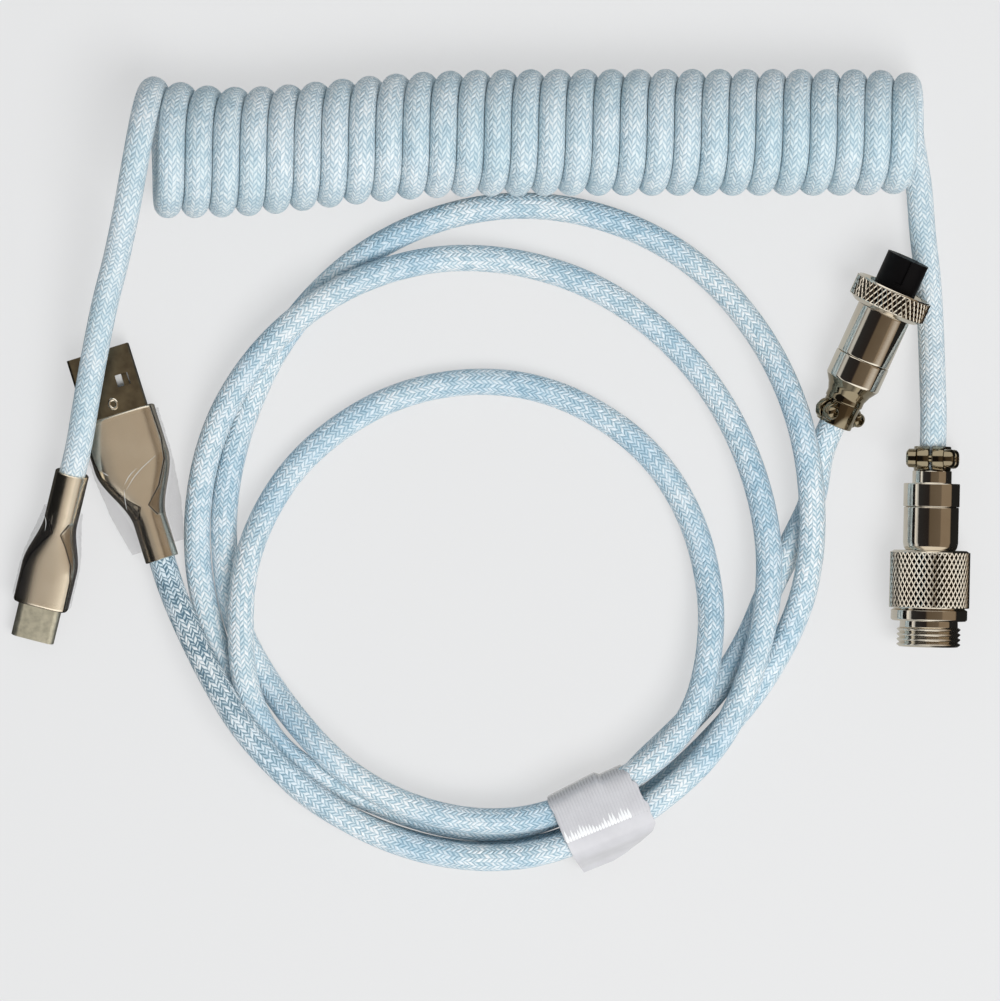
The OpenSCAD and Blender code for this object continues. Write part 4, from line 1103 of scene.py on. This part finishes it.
# Clear films: slack sleeves that lie flat at the waist
film = {
    "slack": 0.35, "end": 1.0, "thickness": 0.08, "early": 2, "columns": 96, "rows": 60, "sharp": 60,
    "flat": 1.35, "square": 2.25, "wrinkle": 0.10, "waves": (3.1, 5, 1.3, 2), "sway": (0.1, 0.2),
    "face": 0.01, "flap": 0.09, "flapFrom": -0.3, "flapSpan": 0.6,
    # white paints a highlight along the creases, at the strength creaseShow
    "grey": (0.34, 0.32, 0.34), "white": (0.95, 0.95, 0.93),
    "crease": 0.06, "creaseSides": 6, "creaseTip": 0.15, "creaseStep": 0.3, "creaseSunk": 0.1,
    "creaseMark": 50, "creaseShow": 0.55,
}
usbAFilm = {
    "start": 2.4, "flare": [(1.5, 4.9), (3.2, 5.4), (10, 6.9), (17, 7.6), (19.5, 7.75)],
    # creases, left of the heading and along it
    "creases": [
        [(5.6, 18.9), (4.7, 17.9)],
        [(2.69, 14.54), (3.12, 12.7), (3.39, 10.71)],
        [(2.33, 14.42), (0.28, 16.25), (-2.15, 17.72), (-5.0, 19.0)],
        [(2.41, 15.44), (0.82, 16.91), (-0.66, 17.69)],
        [(4.88, 12.75), (3.9, 9.7), (3.2, 6.74)],
    ],
}
usbCFilm = {
    "start": 7.3, "flare": [(6.5, 3.7), (9, 4.0), (12, 4.6), (16, 5.4), (19, 5.65)],
    "creases": [[(-3.2, 8.2), (-2.4, 9.6), (-2.2, 11.4)]],
}


def filmFinish():
    finish, tree, shader = startFinish("clearFilm")
    past = fromMap(tree, "filmMap")[0]
    # painted highlight: the crease tubes show white
    crease = past > film["creaseMark"] / 2
    flap = upTo(past, film["flapFrom"], film["flapSpan"]) * (film["flap"] - film["face"])
    setInputs(shader, {
        "Base Color": tint(crease, film["grey"], film["white"]),
        "Alpha": crease * film["creaseShow"] + (flap + film["face"]),
        "Roughness": 0.15, "Specular IOR Level": 0.25,
    })
    return finish


def thinTube(line, radius):
    headings = directions(line)
    last = len(line) - 1
    tip = film["creaseTip"]

    def ring(u, v):
        i = round(v * last)
        forward = Vector(headings[i])
        side = forward.cross(Vector((0, 1, 0))).normalized()
        turn = 2 * pi * u
        taper = radius * (tip + (1 - tip) * sin(pi * v))
        return Vector(line[i]) + taper * (cos(turn) * side + sin(turn) * side.cross(forward))

    return wrappedSheet(film["creaseSides"], last, ring)


def clearFilm(size, sheet):
    flareZ, flareX = zip(*sheet["flare"])
    start, end = sheet["start"], size["length"] - film["end"]
    early = film["early"]
    longWave, longBend, shortWave, shortBend = film["waves"]
    swayX, swayY = film["sway"]

    def skin(u, v):
        z = start + (end - start) * v
        swell = swellAt(size, z, early)
        thickness = swollen(size, "thickness", swell) + 2 * film["slack"]
        width = 2 * float(np.interp(z, flareZ, flareX))
        turn = 2 * pi * u
        x, y = oval(turn, thickness, width, film["flat"] + film["square"] * swell)
        wave = sin(longWave * z + longBend * cos(turn)) * sin(shortWave * z + shortBend * turn)
        ripple = film["wrinkle"] * wave
        return Vector((x * (1 + swayX * ripple), y * (1 + swayY * ripple), z))

    def beside(co, uv):
        # how far a corner lies beside the housing
        return abs(co.x) - swollen(size, "width", swellAt(size, co.z)) / 2, co.z

    bm = wrappedSheet(film["columns"], film["rows"], skin)
    faceOut(bm)
    bmesh.ops.solidify(bm, geom=bm.faces[:], thickness=film["thickness"])
    fillMap(bm, "filmMap", bm.faces, beside)
    for points in sheet["creases"]:
        line, length = smoothRoute([Vector((x, 0, z)) for x, z in points], film["creaseStep"])
        for spot in line:
            half = swollen(size, "thickness", swellAt(size, spot[2], early)) / 2
            spot[1] = half + film["slack"] - film["creaseSunk"]
        one = thinTube(line, film["crease"])
        joinInto(bm, fillMap(one, "filmMap", one.faces, lambda co, uv: (film["creaseMark"], 0)))
    return bm


clear = filmFinish()
for name, size, sheet, node, place in (
    ("usbAFilm", usbA, usbAFilm, "usb_a_film", usbAPlace),
    ("usbCFilm", usbC, usbCFilm, "usb_c_film", usbCPlace),
):
    addPiece(name, clearFilm(size, sheet), clear, "cable_set", (node,), place, film["sharp"])
print("films wrapped")

# Tie strap: a ribbed band round the four strands, with a plain flap
strap = {
    "mid": 54.5, "thickness": 0.55, "step": 0.4, "rows": 190, "sharp": 50,
    # ribs, and the shares of the band where they start and stop
    "rib": 0.6, "ribHeight": 0.09, "ribFrom": 0.237, "ribIn": 0.01, "ribTo": 0.44, "ribOut": 0.05,
    # shift of the top fold, by place along the cords
    "fold": [(-8.2, -0.9), (1.65, 0), (2.4, -0.65), (7, -0.5)],
    "foldFrom": 0.32, "foldIn": 0.1, "foldTo": 0.68, "foldOut": 0.08,
    # the teeth are a painted highlight at the ribs' ends, and groove is painted shade between the ribs
    "toothZ": (-7.6, 5.4), "tooth": (1.0, 1.6), "toothSlope": 2.8, "shine": (0.92, 0.92, 0.92),
    "groove": (0.58, 0.58, 0.59), "grooveIn": 0.1, "grooveEnd": 12.5, "grooveFade": 2.5, "groovePower": 2.0,
    "dark": (0.60, 0.59, 0.61), "light": (0.66, 0.65, 0.67), "cloud": 300, "grain": 2500, "relief": 0.1,
    # left of the cords' heading, and up
    "band": [
        (-9.6, 3.2), (-8.6, 4.7), (-7.6, 7.0), (-6.4, 9.6), (-4.8, 11.2), (-2.6, 11.9), (0.6, 12.0),
        (3.2, 11.8), (5.2, 10.8), (6.2, 8.9), (6.4, 6.2), (6.2, 3.4), (5.0, 1.2), (3.0, 0.65),
        (-3.6, 0.65), (-5.6, 1.3), (-6.6, 3.4), (-6.65, 6.0), (-6.5, 8.0),
    ],
    # share of the way along the band, and its two edges
    "edges": [
        (0, -7.0, -1.0), (0.02, -7.1, 1.9), (0.07, -7.3, 5.0), (0.13, -7.5, 7.8), (0.18, -7.7, 9.1),
        (0.27, -7.9, 8.8), (0.36, -8.1, 8.2), (0.44, -8.2, 7.2), (0.52, -7.8, 7.0), (1, -7.5, 7.0),
    ],
}
tieAngle = radians(hank["tieAngle"])
hubX, hubY = hank["hub"]
strapPlace = {
    "at": (hubX + strap["mid"] * cos(tieAngle), hubY + strap["mid"] * sin(tieAngle), 0),
    "heading": hank["tieTurn"], "climb": 0,
}


def between(u, name):
    rising = smoothStep((u - strap[name + "From"]) / strap[name + "In"])
    return rising * smoothStep((strap[name + "To"] - u) / strap[name + "Out"])


def tieStrap():
    line, length = smoothRoute([Vector((x, y, 0)) for x, y in strap["band"]], strap["step"])
    last = len(line) - 1
    across = directions(line)
    shares, lefts, rights = zip(*strap["edges"])
    foldZ, foldX = zip(*strap["fold"])

    def band(u, v):
        i = round(u * last)
        first, final = np.interp(u, shares, lefts), np.interp(u, shares, rights)
        z = first + (final - first) * v
        lift = -strap["ribHeight"] * between(u, "rib") * cos(2 * pi * z / strap["rib"])
        x = line[i][0] + between(u, "fold") * np.interp(z, foldZ, foldX)
        return Vector((x - across[i][1] * lift, line[i][1] + across[i][0] * lift, z))

    def ribs(co, uv):
        return (uv.x - strap["ribFrom"]) * length, co.z / strap["rib"]

    bm = wrappedSheet(last, strap["rows"], band, "strapMap")
    fillMap(bm, "strapMap", bm.faces, ribs)
    faceOut(bm)
    bmesh.ops.solidify(bm, geom=bm.faces[:], thickness=-strap["thickness"])
    return bm


def strapFinish():
    finish, tree, shader = startFinish("strapPlastic")
    reach, count = fromMap(tree, "strapMap")
    dice = newNode(tree, "TexWhiteNoise", {"W": count.calc("FLOOR")}, noise_dimensions="1D")
    aside = fromMiddle(count.calc("FRACT"))
    fading = upTo(reach * -1.0, -strap["grooveEnd"], strap["grooveFade"])
    groove = upTo(reach, -strap["grooveIn"], strap["grooveIn"]) * fading * aside ** strap["groovePower"]
    # painted highlight: the ribs' ends shine as a row of white teeth
    short, tall = strap["tooth"]
    height = Value(dice["Value"]) * tall + short
    first, last = (z / strap["rib"] for z in strap["toothZ"])
    inRow = (count > first) * (count < last) * (reach > 0.0)
    tooth = (reach / height + aside * strap["toothSlope"] < 1.0) * inRow
    plain = mottled(tree, strap["cloud"], strap["dark"], strap["light"])
    # painted shade in the grooves between the ribs
    lined = tint(groove, plain, strap["groove"], "MULTIPLY")
    shade = tint(tooth, lined, strap["shine"])
    setInputs(shader, {"Base Color": shade, "Roughness": 0.22, "Coat Weight": 0.3})
    relief(shader, grain(tree, strap["grain"]), strap["relief"], fineDepth)
    return finish


addPiece("tieStrap", tieStrap(), strapFinish(), "cable_set", ("tie_strap",), strapPlace,
         strap["sharp"])
print("strap tied")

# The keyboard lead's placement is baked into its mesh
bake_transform(keyboardLead)
